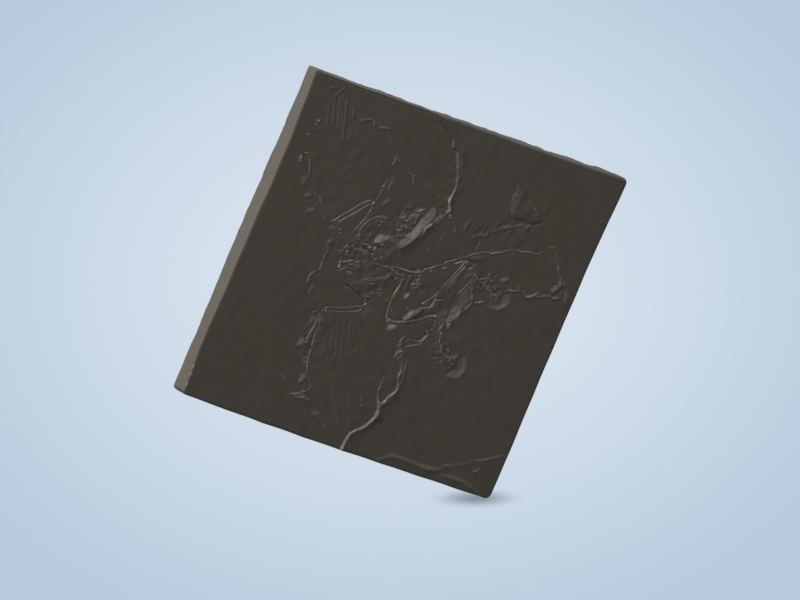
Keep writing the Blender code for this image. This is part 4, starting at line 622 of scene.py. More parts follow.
def softNoise(u, v, size, seed):  # smooth bumps from -1 to 1, about `size` mm apart
    cells, start = carving["noiseCells"], carving["noiseStart"]
    lattice = np.random.RandomState(seed).uniform(-1, 1, (cells + 1, cells + 1))
    x, y = u / size + start, v / size + start
    i, j = np.floor(x).astype(int), np.floor(y).astype(int)
    fx, fy = x - i, y - j
    fx, fy = fx * fx * (3 - 2 * fx), fy * fy * (3 - 2 * fy)
    i, j = i % cells, j % cells
    low = lattice[i, j] * (1 - fx) + lattice[i + 1, j] * fx
    high = lattice[i, j + 1] * (1 - fx) + lattice[i + 1, j + 1] * fx
    return low * (1 - fy) + high * fy


def flakes(u, v, size, seed):  # chipped layers: low plateaus with narrow edges between them
    broad, small = softNoise(u, v, size, seed), softNoise(u, v, size * 0.45, seed + 7)
    layers = smooth(-0.12, 0.1, broad + 0.35 * small) + smooth(0.35, 0.5, broad + 0.3 * small)
    return 0.55 * layers - 0.5 + 0.5 * broad + 0.22 * small


def fromLine(u, v, path):  # how far from the line, how far along it, and its length
    best, along, done = np.full(u.shape, 1e9), np.zeros(u.shape), 0.0
    for (u0, v0), (u1, v1) in zip([p[:2] for p in path], [p[:2] for p in path[1:]]):
        du, dv = u1 - u0, v1 - v0
        length = math.hypot(du, dv)
        t = np.clip(((u - u0) * du + (v - v0) * dv) / length ** 2, 0, 1)
        d = np.hypot(u - u0 - t * du, v - v0 - t * dv)
        closer = d < best
        best[closer] = d[closer]
        along[closer] = done + t[closer] * length
        done += length
    return best, along, done


def strengthOf(path, along):  # how strong a line is at each distance along it
    knots = np.cumsum([0] + [math.dist(a[:2], b[:2]) for a, b in zip(path, path[1:])])
    return np.interp(along, knots, [p[2] for p in path])


def insideOf(u, v, outline):  # distance inside an outline, negative outside it
    d = fromLine(u, v, tuple(outline) + (outline[0],))[0]
    inside = np.zeros(u.shape, bool)
    for (u0, v0), (u1, v1) in zip(outline, outline[1:] + outline[:1]):
        crosses = (v0 > v) != (v1 > v)
        if v0 != v1:
            inside ^= crosses & (u < (u1 - u0) * (v - v0) / (v1 - v0) + u0)
    return np.where(inside, d, -d)


def curved(path, steps=3):  # the same line with its corners eased
    path = tuple((*p, 1.0)[:3] for p in path)
    if len(path) < 3:
        return path
    ends = [path[0]] + list(path) + [path[-1]]
    eased = []
    for a, b, c, d in zip(ends, ends[1:], ends[2:], ends[3:]):
        for k in range(steps):
            t = k / steps
            eased.append(tuple(
                0.5 * (2 * q + (r - p) * t + (2 * p - 5 * q + 4 * r - s) * t * t
                       + (3 * q - p - 3 * r + s) * t ** 3)
                for p, q, r, s in zip(a, b, c, d)))
    return tuple(eased) + (path[-1],)


def nearby(u, v, path, margin):  # which points are close enough for a feature to matter
    us, vs = [p[0] for p in path], [p[1] for p in path]
    return np.nonzero((u > min(us) - margin) & (u < max(us) + margin)
                      & (v > min(vs) - margin) & (v < max(vs) + margin))[0]


class Relief:  # heights and masks of the face, gathered feature by feature
    def __init__(self, u, v):
        self.rawU, self.rawV = u, v
        (broad, farBend), (small, nearBend) = carving["bends"]
        self.u = u + farBend * softNoise(u, v, broad, 21) + nearBend * softNoise(u, v, small, 22)
        self.v = v + farBend * softNoise(u, v, broad, 23) + nearBend * softNoise(u, v, small, 24)
        self.stone = np.zeros(u.shape)
        self.raised = np.zeros(u.shape)
        self.sunk = np.zeros(u.shape)
        self.pale = np.zeros(u.shape)
        self.bone = np.zeros(u.shape)

    def ridge(self, width, height, bead, path, pale=0.0, bone=True, seed=0):
        path = curved(path)
        near = nearby(self.u, self.v, path, width * 3)
        if bone:
            u, v = self.rawU[near], self.rawV[near]
        else:
            u, v = self.u[near], self.v[near]
        d, along, length = fromLine(u, v, path)
        (fine, fineBead), (coarse, coarseBead) = carving["beading"]
        wobble = fineBead * softNoise(along, along * 0, fine, 40 + seed)
        wobble = wobble + coarseBead * softNoise(along, along * 0, coarse, 41 + seed)
        half = width / 2 * np.clip(1 + (0.1 + 0.5 * bead) * wobble, 0.4, 1.5)
        end = smooth(-0.2, width * 0.8, along) * smooth(-0.2, width * 0.8, length - along) * 0.6 + 0.4
        end = end * strengthOf(path, along)
        shape = np.sqrt(np.clip(1 - (d / half) ** 2, 0, 1))
        chips = 1 + carving["boneChips" if bone else "foldChips"] * softNoise(u, v, 1.9, 90 + seed)
        lift = height * shape * np.clip(1 + 1.3 * bead * wobble, 0.15, 1.4) * end * chips
        self.raised[near] = np.maximum(self.raised[near], lift)
        if bone:  # a shallow moat where the stone was cleared from the bone
            moat = carving["moatDepth"] * height * np.exp(-((d - half * 1.5) / (half * 0.55)) ** 2) * end
            self.sunk[near] = np.maximum(self.sunk[near], moat)
            shown = np.clip(0.35 + 0.9 * strengthOf(path, along), 0, 1)  # weak lines have less colour
            self.bone[near] = np.maximum(self.bone[near], smooth(0, 0.55, shape) * shown)
        else:
            self.pale[near] = np.maximum(self.pale[near], np.clip(pale * end, 0, 1) * shape)

    def featherPrint(self, width, height, path):  # a low, soft ridge
        path = curved(path)
        near = nearby(self.u, self.v, path, width * 2)
        d, along, length = fromLine(self.rawU[near], self.rawV[near], path)
        end = smooth(-1, 4, along) * smooth(-1, 4, length - along) * strengthOf(path, along)
        shape = np.exp(-(d / (width * 0.42)) ** 2) * end
        self.stone[near] += height * shape
        self.pale[near] = np.maximum(self.pale[near], carving["featherPale"] * height * shape)

    def groove(self, width, depth, path):
        path = curved(path)
        near = nearby(self.u, self.v, path, width * 2)
        d = fromLine(self.rawU[near], self.rawV[near], path)[0]
        shape = np.clip(1 - (d / (width / 2)) ** 2, 0, 1)
        self.sunk[near] = np.maximum(self.sunk[near], depth * shape)

    def knob(self, across, down, along, aside, height, turn):  # a bump of bone, or a pit below zero
        near = nearby(self.u, self.v, ((across, down),), max(along, aside) * 2)
        du, dv = self.rawU[near] - across, self.rawV[near] - down
        angle = math.radians(-turn)
        p = (du * math.cos(angle) + dv * math.sin(angle)) / along
        q = (dv * math.cos(angle) - du * math.sin(angle)) / aside
        grain = int(across * 7 + down) % 97  # each knob's own unevenness
        r = np.sqrt(p * p + q * q) * (1 + 0.2 * softNoise(du, dv, 1.5, grain))
        shape = np.sqrt(np.clip(1 - r * r, 0, 1)) * (0.92 + 0.3 * softNoise(du, dv, 1.2, grain + 1))
        if height < 0:
            self.sunk[near] = np.maximum(self.sunk[near], -height * shape)
            return
        self.raised[near] = np.maximum(self.raised[near], height * shape)
        moat = carving["knobMoat"] * height * np.exp(-((r - 1.35) / 0.3) ** 2)
        self.sunk[near] = np.maximum(self.sunk[near], moat)
        self.bone[near] = np.maximum(self.bone[near], smooth(0, 0.55, shape))

    def swell(self, across, down, along, aside, height, turn, pale):  # a soft lump
        near = nearby(self.u, self.v, ((across, down),), max(along, aside) * 1.6)
        du, dv = self.u[near] - across, self.v[near] - down
        angle = math.radians(-turn)
        p = (du * math.cos(angle) + dv * math.sin(angle)) / along
        q = (dv * math.cos(angle) - du * math.sin(angle)) / aside
        ragged = 1 + 0.25 * softNoise(self.u[near], self.v[near], 3.1, 55)
        shape = 1 - smooth(0, 1, np.sqrt(p * p + q * q) * ragged)
        self.stone[near] += height * shape
        self.pale[near] = np.maximum(self.pale[near], pale * smooth(0.05, 0.5, shape))

    def step(self, wall, fall, height, pale, facing, crest):  # a wall, and a slow fall behind its crest
        fu, fv = facing
        size = math.hypot(fu, fv)
        fu, fv = fu / size, fv / size
        widest = max(wall) if isinstance(wall, tuple) else wall
        near = nearby(self.u, self.v, crest, widest + fall + 2)
        u, v = self.u[near], self.v[near]
        crestAlong = np.array([-p[0] * fv + p[1] * fu for p in crest])
        crestOut = np.array([p[0] * fu + p[1] * fv for p in crest])
        strength = np.array([(*p, 1.0)[2] for p in crest])
        turned = crestAlong[0] > crestAlong[-1]
        if turned:
            crestAlong, crestOut, strength = crestAlong[::-1], crestOut[::-1], strength[::-1]
        s, out = -u * fv + v * fu, u * fu + v * fv
        x = out - np.interp(s, crestAlong, crestOut)
        reach = min(carving["stepEnd"], 0.4 * (crestAlong[-1] - crestAlong[0]))
        end = smooth(0, reach, s - crestAlong[0]) * smooth(0, reach, crestAlong[-1] - s)
        if isinstance(wall, tuple):  # a width for each point of the crest
            wall = np.interp(s, crestAlong, wall[::-1] if turned else wall)
        wall = wall * (1 + 0.2 * softNoise(s, s * 0, 9, 71)) * (0.55 + 0.45 * end)
        strength = np.interp(s, crestAlong, strength)
        height = height * strength * (1 + 0.15 * softNoise(s, s * 0, 7, 72))
        t = np.clip(x / wall, 0, 1)
        front = 1 - 0.5 * t - 0.5 * t * t * (3 - 2 * t)
        back = np.clip(1 + x / fall, 0, 1)
        shape = np.where(x > 0, front, back ** 1.6)
        self.stone[near] += height * shape * end
        wallMask = smooth(-0.6, 0.1, x) * smooth(-0.4, 0.5, wall - x) * end
        self.pale[near] = np.maximum(self.pale[near], np.clip(pale * strength, 0, 1) * wallMask)

    def plate(self, outline, height, edge, pale):  # a wide form with a sloping edge
        near = nearby(self.u, self.v, outline, 3)
        d = insideOf(self.u[near], self.v[near], outline)
        d = d + 0.9 * softNoise(self.u[near], self.v[near], 3.4, 56) * smooth(-3, 1, d)
        shape = smooth(0, edge, d)
        self.stone[near] += height * shape
        self.pale[near] = np.maximum(self.pale[near], pale * smooth(0, edge * 0.6, d))


def levelsAt(d, twice, once):  # 2 within the first distance, 1 within the second, otherwise 0
    return np.where(d < twice, 2, np.where(d < once, 1, 0))


def fineMask(u, v):  # how often the cells at each point are halved, for the details near them
    level = np.zeros(u.shape)
    for table, reach in ((bones, 3.2), (grooves, 2.6), (folds, 2.2)):
        for row in table.values():
            near = nearby(u, v, row[-1], 8)
            d = fromLine(u[near], v[near], row[-1])[0] - row[0] / 2
            level[near] = np.maximum(level[near], levelsAt(d, reach * 0.55, reach * 1.6))
    for row in steps.values():
        near = nearby(u, v, row[-1], 14)
        d = fromLine(u[near], v[near], row[-1])[0]
        wall = max(row[0]) if isinstance(row[0], tuple) else row[0]
        level[near] = np.maximum(level[near], levelsAt(d, min(wall * 0.7, 4) + 1.2, wall + 4))
    for row in feathers.values():
        near = nearby(u, v, row[-1], 6)
        d = fromLine(u[near], v[near], row[-1])[0]
        level[near] = np.maximum(level[near], levelsAt(d, row[0] * 0.6, row[0] + 2))
    spots = [(k[0], k[1], max(k[2], k[3])) for k in (*knobs.values(), *hollows.values())]
    spots += [(*p[:2], 1.8) for p in (*neck["beads"], *neck["outerBeads"], *neck["eyeBeads"])]
    for across, down, size in spots:
        level = np.maximum(level, levelsAt(np.hypot(u - across, v - down) - size, 1.4, 4))
    for down, half, strength in slab["edgeChips"]:
        d = np.maximum(np.abs(v - down) - half, u - slab["edgeRound"] - 2)
        level = np.maximum(level, levelsAt(d, 0.8, 3.5))
    for across, down, ru, rv, height, size in roughZones.values():
        if size < slab["fineRoughSize"]:
            level = np.maximum(level, np.where(np.hypot((u - across) / ru, (v - down) / rv) < 1, 1, 0))
    for outline, height, edge, pale in plates.values():
        near = nearby(u, v, outline, 4)
        level[near] = np.maximum(level[near], np.where(insideOf(u[near], v[near], outline) > -2, 1, 0))
    return level


def wander(distance, side):  # how far the broken edge lies inside the straight one
    wave = np.sin(distance * 0.11 + side * 1.7) + np.sin(distance * 0.043 + side * 2.9)
    return slab["edgeWander"] * (2 + wave) / 4


def atDistance(edge, distance):  # how far out one of the slab's edges lies
    return np.interp(distance, [row[0] for row in slab[edge]], [row[1] for row in slab[edge]])


def facePoints(bm):  # the grid's points as places on the face
    flat = np.array([v.co[:2] for v in bm.verts]) / mm
    return flat[:, 0] + slab["across"] / 2, slab["down"] / 2 - flat[:, 1]


def makeFaceGrid():  # a flat grid, finer near the fossil
    bm = bmesh.new()
    inset = slab["edgeRound"]
    wide, high = slab["across"] - 2 * inset, slab["down"] - 2 * inset
    cells = round(wide / slab["gridCell"]), round(high / slab["gridCell"])
    bmesh.ops.create_grid(bm, x_segments=cells[0], y_segments=cells[1], size=0.5)
    bmesh.ops.scale(bm, verts=bm.verts, vec=(wide * mm, high * mm, 1))
    for level in range(1, slab["fineSteps"] + 1):
        u, v = facePoints(bm)
        wanted = fineMask(u, v) >= level
        bm.verts.index_update()
        edges = [e for e in bm.edges if wanted[e.verts[0].index] and wanted[e.verts[1].index]]
        bmesh.ops.subdivide_edges(bm, edges=edges, cuts=1, use_grid_fill=True)
    return bm


def shapeOutline(u, v):  # the straight grid pulled in to the broken, rounded outline
    across, down = slab["across"], slab["down"]
    reach, corner = slab["edgeReach"], slab["cornerReach"]
    du = wander(v, 3) * (1 - smooth(0, reach, u)) - wander(v, 1) * (1 - smooth(0, reach, across - u))
    dv = wander(u, 0) * (1 - smooth(0, reach, v)) - wander(u, 2) * (1 - smooth(0, reach, down - v))
    fade = smooth(0, corner, np.minimum(u, across - u)), smooth(0, corner, np.minimum(v, down - v))
    u, v = u + du * fade[1], v + dv * fade[0]
    inset = slab["edgeRound"]
    for (cu, cv), radius in zip(((0, 0), (1, 0), (1, 1), (0, 1)), slab["cornerRadii"]):
        radius -= inset * 0.5
        centreU = across - inset - radius if cu else inset + radius
        centreV = down - inset - radius if cv else inset + radius
        a = np.clip((u - centreU) / radius * (1 if cu else -1), 0, 1)
        b = np.clip((v - centreV) / radius * (1 if cv else -1), 0, 1)
        inCorner = (a > 0) & (b > 0)
        a2, b2 = a * np.sqrt(1 - b * b / 2), b * np.sqrt(1 - a * a / 2)  # a square turned into a disc
        u = np.where(inCorner, centreU + a2 * radius * (1 if cu else -1), u)
        v = np.where(inCorner, centreV + b2 * radius * (1 if cv else -1), v)
    du = atDistance("rightEdge", v) * (1 - smooth(0, reach, across - u))
    du -= atDistance("leftEdge", v) * (1 - smooth(0, reach, u))
    dv = atDistance("bottomEdge", u) * (1 - smooth(0, reach, down - v))
    dv -= atDistance("topEdge", u) * (1 - smooth(0, reach, v))
    return u + du, v + dv


def outward(co):  # the level direction out of the slab at a point of its rim
    radius = slab["fanRadius"] * mm
    halfX, halfY = slab["across"] / 2 * mm - radius, slab["down"] / 2 * mm - radius
    inner = Vector((max(-halfX, min(halfX, co.x)), max(-halfY, min(halfY, co.y)), 0))
    return (Vector((co.x, co.y, 0)) - inner).normalized()


def chipAt(down):  # how deep the left edge is chipped there, from 0 to 1
    return max(strength * (1 - smooth(0.3, 1, abs(down - place) / half))
               for place, half, strength in slab["edgeChips"])


def addRim(bm):  # the worn edge, the rough sides and the flat back, one ring of faces after another
    inset, chamfer, top = slab["edgeRound"], slab["backChamfer"], slab["faceLevel"]
    # how far each ring moves out, how far it drops or the height it goes to, how rough it is,
    # and whether a chip takes it in (-1), leaves it (0) or lets it out again (1)
    rings = [(0.62 * inset, 0.22 * inset, None, 0.0, -1), (0.30 * inset, 0.40 * inset, None, 0.3, 0),
             (0.08 * inset, 0.45 * inset, None, 0.5, 1)]
    rings += [(0.0, 0.0, level, 1.0, 0) for level in (*slab["sideRings"], chamfer)]
    rings += [(-0.8 * chamfer, 0.0, 0.0, 0.0, 0)]
    rim = [e for e in bm.edges if e.is_boundary]
    pale = bm.verts.layers.float["pale"]
    for out, drop, level, rough, chipped in rings:
        made = bmesh.ops.extrude_edge_only(bm, edges=rim)["geom"]
        verts = [g for g in made if isinstance(g, bmesh.types.BMVert)]
        rim = [g for g in made if isinstance(g, bmesh.types.BMEdge) and g.is_boundary]
        for vert in verts:
            away, before = outward(vert.co), vert.co.z
            onLeft, onTop = away.x < -0.5, away.y > 0.7
            vert.co += away * out * mm
            vert.co.z = vert.co.z - drop * mm if level is None else level * mm
            v = slab["down"] / 2 - vert.co.y / mm
            if onLeft:  # the left side leans out or in on its way down
                lean = float(atDistance("leftFoot", v) - atDistance("leftEdge", v))
                vert.co.x -= lean * (before - vert.co.z) / top
            vert[pale] = slab["sidePale"] if rough else 0.0
            if onLeft and level is None:
                vert.co += away * chipAt(v) * chipped * slab["chipDepth"] * mm
                # the cut facet of a chip is painted paler, a painted highlight
                if chipped < 1:
                    vert[pale] = max(vert[pale], chipAt(v) * slab["chipPaintedHighlight"])
            # a painted highlight along the rounded top edge
            if onTop and level is None:
                vert[pale] = slab["topRimPaintedHighlight"]
        if rough:
            z = np.array([vert.co.z for vert in verts]) / mm
            around = np.array([math.atan2(vert.co.y, vert.co.x) for vert in verts]) * slab["roundScale"]
            bump = softNoise(around, z, 7.0, 61) + 0.6 * softNoise(around, z, 2.6, 62)
            for vert, depth in zip(verts, (bump - 0.2) * 0.4 * rough * slab["sideRough"]):
                vert.co += outward(vert.co) * float(depth) * mm
    bmesh.ops.contextual_create(bm, geom=rim)


def shapeFace(bm):  # cuts every table into the grid, and keeps how pale and how bony each point is
    u, v = facePoints(bm)
    relief = Relief(u, v)
    for number, (width, height, bead, path) in enumerate(bones.values()):
        relief.ridge(width, height, bead, path, seed=number)
    for number, (width, height, bead, pale, path) in enumerate(folds.values()):
        relief.ridge(width, height, bead, path, pale=pale, bone=False, seed=60 + number)
    for width, height, path in feathers.values():
        relief.featherPrint(width, height, path)
    for width, depth, path in grooves.values():
        relief.groove(width, depth, path)
    for across, down, along, aside, height, turn in knobs.values():
        relief.knob(across, down, along, aside, height, turn)
    for across, down, along, aside, depth, turn in hollows.values():
        relief.knob(across, down, along, aside, -depth, turn)
    relief.ridge(*neck["cord"], neck["beads"], seed=58)
    chance = np.random.RandomState(31)
    for beads, size in ((neck["beads"], neck["beadSize"]), (neck["outerBeads"], neck["eyeBeadSize"]),
                        (neck["eyeBeads"], neck["eyeBeadSize"])):
        for number, (across, down, strength) in enumerate(beads):
            before, after = beads[max(number - 1, 0)], beads[min(number + 1, len(beads) - 1)]
            turn = math.degrees(math.atan2(after[1] - before[1], after[0] - before[0])) + 90
            wide, long = (half * chance.uniform(0.75, 1.2) for half in size[:2])
            relief.knob(across, down, wide, long, size[2] * strength, turn + chance.uniform(-25, 25))
    for row in swells.values():
        relief.swell(*row)
    for row in steps.values():
        relief.step(*row)
    for row in plates.values():
        relief.plate(*row)
    for number, (across, down, ru, rv, height, size) in enumerate(roughZones.values()):
        mask = smooth(0, 0.5, 1 - np.hypot((u - across) / ru, (v - down) / rv))
        relief.stone += height * mask * flakes(u, v, size, 80 + number)
    for size, height, seed in slab["waves"]:
        relief.stone += height * softNoise(u, v, size, seed)
    crumbs = 0.82 + 0.3 * softNoise(u, v, 2.3, 57) + 0.2 * softNoise(u, v, 5.1, 59)
    inset = slab["edgeRound"]
    # a painted highlight: the face is painted paler in a strip along its top edge
    rim = slab["topRimPaintedHighlight"] * (1 - smooth(inset + 0.1, inset + slab["topRimHighlightWidth"], v))
    relief.pale = np.clip(np.maximum(relief.pale * crumbs, rim), 0, 1)
    highest = slab["thickness"] - slab["faceLevel"] - slab["headroom"]
    height = np.clip(relief.stone + relief.raised - relief.sunk, slab["deepest"], highest)
    newU, newV = shapeOutline(u, v)
    pale, bone = bm.verts.layers.float.new("pale"), bm.verts.layers.float.new("bone")
    for vert, a, d, h, p, b in zip(bm.verts, newU, newV, height, relief.pale, relief.bone):
        vert.co = Vector((a - slab["across"] / 2, slab["down"] / 2 - d, slab["faceLevel"] + h)) * mm
        vert[pale] = float(p)
        vert[bone] = float(b)


print("making the slab")
bm = makeFaceGrid()
print("face grid", len(bm.verts), "points")
shapeFace(bm)
addRim(bm)
bmesh.ops.recalc_face_normals(bm, faces=bm.faces)
slabMesh = bpy.data.meshes.new("fossilSlab")
bm.to_mesh(slabMesh)
bm.free()
slabMesh.shade_smooth()
slabPiece = bpy.data.objects.new("fossilSlab", slabMesh)
bpy.context.scene.collection.objects.link(slabPiece)
print("slab has", len(slabMesh.polygons), "faces")


# Materials
stone = {
    "oliveColour": (0.0270, 0.0242, 0.0191), "brownColour": (0.0277, 0.0239, 0.0194),
    # the pale colour is used for paler stone and also for the painted highlights on the chips and along
    # the top edge
    "paleAndHighlightColour": (0.080, 0.0735, 0.0665), "boneColour": (0.043, 0.038, 0.0325),
    "patchSize": 0.034, "patchEdge": 0.10,         # brown patches: size and softness
    "fadeTurn": 128.0, "fadeAmount": 0.085,        # the face is a little lighter towards this side
    "grainHeight": 0.00005, "grainSize": 0.0011, "broadHeight": 0.00012, "broadSize": 0.006,
    "roughness": 0.88, "specular": 0.05,
}


def socketsOf(tree, inputs, outputs):  # a group's named inputs and outputs
    for name, kind, value in inputs:
        socket = tree.interface.new_socket(name, in_out="INPUT", socket_type=kind)
        if value is not None:
            socket.default_value = value
    for name, kind in outputs:
        tree.interface.new_socket(name, in_out="OUTPUT", socket_type=kind)


def node(tree, kind, x, y, **settings):  # a shader node at its place in the editor
    made = tree.nodes.new(kind)
    made.location = (x, y)
    for name, value in settings.items():
        setattr(made, name, value)
    return made


def makeGrainGroup():  # fine grain and broad unevenness, as a height in metres
    group = bpy.data.node_groups.new("stoneGrain", "ShaderNodeTree")
    socketsOf(group, (("Vector", "NodeSocketVector", None), ("Fine Size", "NodeSocketFloat", 0.001),
                      ("Fine Height", "NodeSocketFloat", 0.0001), ("Broad Size", "NodeSocketFloat", 0.006),
                      ("Broad Height", "NodeSocketFloat", 0.0003)), (("Height", "NodeSocketFloat"),))
    start, end = node(group, "NodeGroupInput", -800, 0), node(group, "NodeGroupOutput", 600, 0)
    heights = []
    for row, word in enumerate(("Fine", "Broad")):
        per = node(group, "ShaderNodeMath", -600, -300 * row, operation="DIVIDE")
        per.inputs[0].default_value = 1.0
        group.links.new(start.outputs[word + " Size"], per.inputs[1])
        noise = node(group, "ShaderNodeTexNoise", -400, -300 * row)
        noise.inputs["Detail"].default_value = 4.0
        group.links.new(start.outputs["Vector"], noise.inputs["Vector"])
        group.links.new(per.outputs[0], noise.inputs["Scale"])
        height = node(group, "ShaderNodeMath", -150, -300 * row, operation="MULTIPLY")
        group.links.new(noise.outputs["Fac"], height.inputs[0])
        group.links.new(start.outputs[word + " Height"], height.inputs[1])
        heights.append(height)
    both = node(group, "ShaderNodeMath", 200, 0, operation="ADD")
    group.links.new(heights[0].outputs[0], both.inputs[0])
    group.links.new(heights[1].outputs[0], both.inputs[1])
    group.links.new(both.outputs[0], end.inputs["Height"])
    return group


def makePatchGroup():  # which places are brown, from 0 to 1, with edges that look broken
    group = bpy.data.node_groups.new("stonePatches", "ShaderNodeTree")
    socketsOf(group, (("Vector", "NodeSocketVector", None), ("Size", "NodeSocketFloat", 0.03),
                      ("Edge", "NodeSocketFloat", 0.1)), (("Mask", "NodeSocketFloat"),))
    start, end = node(group, "NodeGroupInput", -800, 0), node(group, "NodeGroupOutput", 600, 0)
    per = node(group, "ShaderNodeMath", -600, -150, operation="DIVIDE")
    per.inputs[0].default_value = 1.0
    group.links.new(start.outputs["Size"], per.inputs[1])
    noise = node(group, "ShaderNodeTexNoise", -400, 0)
    noise.inputs["Detail"].default_value = 3.0
    noise.inputs["Distortion"].default_value = 0.4
    group.links.new(start.outputs["Vector"], noise.inputs["Vector"])
    group.links.new(per.outputs[0], noise.inputs["Scale"])
    low, high = (node(group, "ShaderNodeMath", -200, y, operation=kind)
                 for y, kind in ((-200, "SUBTRACT"), (-350, "ADD")))
    for edge in (low, high):
        edge.inputs[0].default_value = 0.5
        group.links.new(start.outputs["Edge"], edge.inputs[1])
    mask = node(group, "ShaderNodeMapRange", 200, 0, interpolation_type="SMOOTHSTEP")
    group.links.new(noise.outputs["Fac"], mask.inputs["Value"])
    group.links.new(low.outputs[0], mask.inputs["From Min"])
    group.links.new(high.outputs[0], mask.inputs["From Max"])
    group.links.new(mask.outputs["Result"], end.inputs["Mask"])
    return group


def makeFadeGroup():  # a tone that grows evenly from one side of the slab to the other
    group = bpy.data.node_groups.new("toneFade", "ShaderNodeTree")
    socketsOf(group, (("Vector", "NodeSocketVector", None), ("Direction", "NodeSocketVector", None),
                      ("Half Width", "NodeSocketFloat", 0.3), ("Amount", "NodeSocketFloat", 0.1)),
              (("Tone", "NodeSocketFloat"),))
    start, end = node(group, "NodeGroupInput", -800, 0), node(group, "NodeGroupOutput", 600, 0)
    along = node(group, "ShaderNodeVectorMath", -500, 0, operation="DOT_PRODUCT")
    group.links.new(start.outputs["Vector"], along.inputs[0])
    group.links.new(start.outputs["Direction"], along.inputs[1])
    part = node(group, "ShaderNodeMath", -250, 0, operation="DIVIDE")
    group.links.new(along.outputs["Value"], part.inputs[0])
    group.links.new(start.outputs["Half Width"], part.inputs[1])
    tone = node(group, "ShaderNodeMath", 50, 0, operation="MULTIPLY_ADD")
    tone.inputs[2].default_value = 1.0
    group.links.new(part.outputs[0], tone.inputs[0])
    group.links.new(start.outputs["Amount"], tone.inputs[1])
    group.links.new(tone.outputs[0], end.inputs["Tone"])
    return group


def makeStoneMaterial():
    material = bpy.data.materials.new("slateStone")
    material.use_nodes = True
    tree = material.node_tree
    shader = tree.nodes["Principled BSDF"]
    shader.inputs["Roughness"].default_value = stone["roughness"]
    shader.inputs["Specular IOR Level"].default_value = stone["specular"]
    place = node(tree, "ShaderNodeTexCoord", -1400, 0)
    grain = node(tree, "ShaderNodeGroup", -700, -400, node_tree=makeGrainGroup())
    for name, key in (("Fine Size", "grainSize"), ("Fine Height", "grainHeight"),
                      ("Broad Size", "broadSize"), ("Broad Height", "broadHeight")):
        grain.inputs[name].default_value = stone[key]
    tree.links.new(place.outputs["Object"], grain.inputs["Vector"])
    bump = node(tree, "ShaderNodeBump", -300, -400)
    bump.inputs["Distance"].default_value = 1.0
    tree.links.new(grain.outputs["Height"], bump.inputs["Height"])
    tree.links.new(bump.outputs["Normal"], shader.inputs["Normal"])
    pale, bone = (node(tree, "ShaderNodeAttribute", -1200, y, attribute_name=name)
                  for name, y in (("pale", 500), ("bone", 300)))
    patches = node(tree, "ShaderNodeGroup", -1200, 100, node_tree=makePatchGroup())
    patches.inputs["Size"].default_value = stone["patchSize"]
    patches.inputs["Edge"].default_value = stone["patchEdge"]
    tree.links.new(place.outputs["Object"], patches.inputs["Vector"])
    faceMix = node(tree, "ShaderNodeMix", -950, 600, data_type="RGBA")
    faceMix.inputs["A"].default_value = (*stone["oliveColour"], 1)
    faceMix.inputs["B"].default_value = (*stone["brownColour"], 1)
    tree.links.new(patches.outputs["Mask"], faceMix.inputs["Factor"])
    paleMix = node(tree, "ShaderNodeMix", -700, 400, data_type="RGBA")
    tree.links.new(faceMix.outputs["Result"], paleMix.inputs["A"])
    paleMix.inputs["B"].default_value = (*stone["paleAndHighlightColour"], 1)
    tree.links.new(pale.outputs["Fac"], paleMix.inputs["Factor"])
    boneMix = node(tree, "ShaderNodeMix", -450, 300, data_type="RGBA")
    boneMix.inputs["B"].default_value = (*stone["boneColour"], 1)
    tree.links.new(bone.outputs["Fac"], boneMix.inputs["Factor"])
    tree.links.new(paleMix.outputs["Result"], boneMix.inputs["A"])
    fade = node(tree, "ShaderNodeGroup", -700, 0, node_tree=makeFadeGroup())
    turn = math.radians(stone["fadeTurn"])
    fade.inputs["Direction"].default_value = (math.cos(turn), math.sin(turn), 0)
    fade.inputs["Amount"].default_value = stone["fadeAmount"]
    tree.links.new(place.outputs["Object"], fade.inputs["Vector"])
    toned = node(tree, "ShaderNodeVectorMath", -200, 300, operation="SCALE")
    tree.links.new(boneMix.outputs["Result"], toned.inputs[0])
    tree.links.new(fade.outputs["Tone"], toned.inputs["Scale"])
    tree.links.new(toned.outputs["Vector"], shader.inputs["Base Color"])
    return material


slabMesh.materials.append(makeStoneMaterial())
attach(slabPiece, "root")
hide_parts("slab")
print("materials are on")


# The floor, the light and the camera
studio = {
    "floorDrop": 0.0004,                   # keeps the floor's face off the slab's back
    # the floor colours in the middle of the painted pool of light and outside it, and the floor's size
    "poolMiddleColour": (0.690, 0.776, 0.856), "poolOutsideColour": (0.478, 0.585, 0.727), "floorSize": 6.0,
    "floorGlow": 0.97, "floorBase": (0.02, 0.024, 0.028),  # the floor mostly glows, free of shadows
    # the painted pool of light and the painted shadow at a corner are ovals: middle, turn in degrees and
    # half sizes
    "paintedLightPool": (0.006, 0.001, 7.2, 1.396, 0.849), "paintedPoolInner": 0.135, "paintedPoolOuter": 0.500,
    "paintedCornerShadow": (0.2265, -0.1946, 14.9, 0.0690, 0.0131), "paintedShadowDepth": 0.41,
    "skyColour": (1.0, 1.0, 1.0), "skyStrength": 1.0,
    "keyStrength": 15.0, "keyRise": 7.0, "keyTurn": 150.0, "keyAngle": 8.0,  # degrees
}


def distanceIn(tree, spot, oval, y):  # how far out a point is, with 1 at the oval's line
    across, down, turn, halfLong, halfShort = oval
    place = node(tree, "ShaderNodeMapping", -1100, y, vector_type="TEXTURE")
    place.inputs["Location"].default_value = (across, down, 0)
    place.inputs["Rotation"].default_value = (0, 0, math.radians(turn))
    place.inputs["Scale"].default_value = (halfLong, halfShort, 1)
    tree.links.new(spot.outputs["Object"], place.inputs["Vector"])
    away = node(tree, "ShaderNodeVectorMath", -900, y, operation="LENGTH")
    tree.links.new(place.outputs["Vector"], away.inputs[0])
    return away.outputs["Value"]


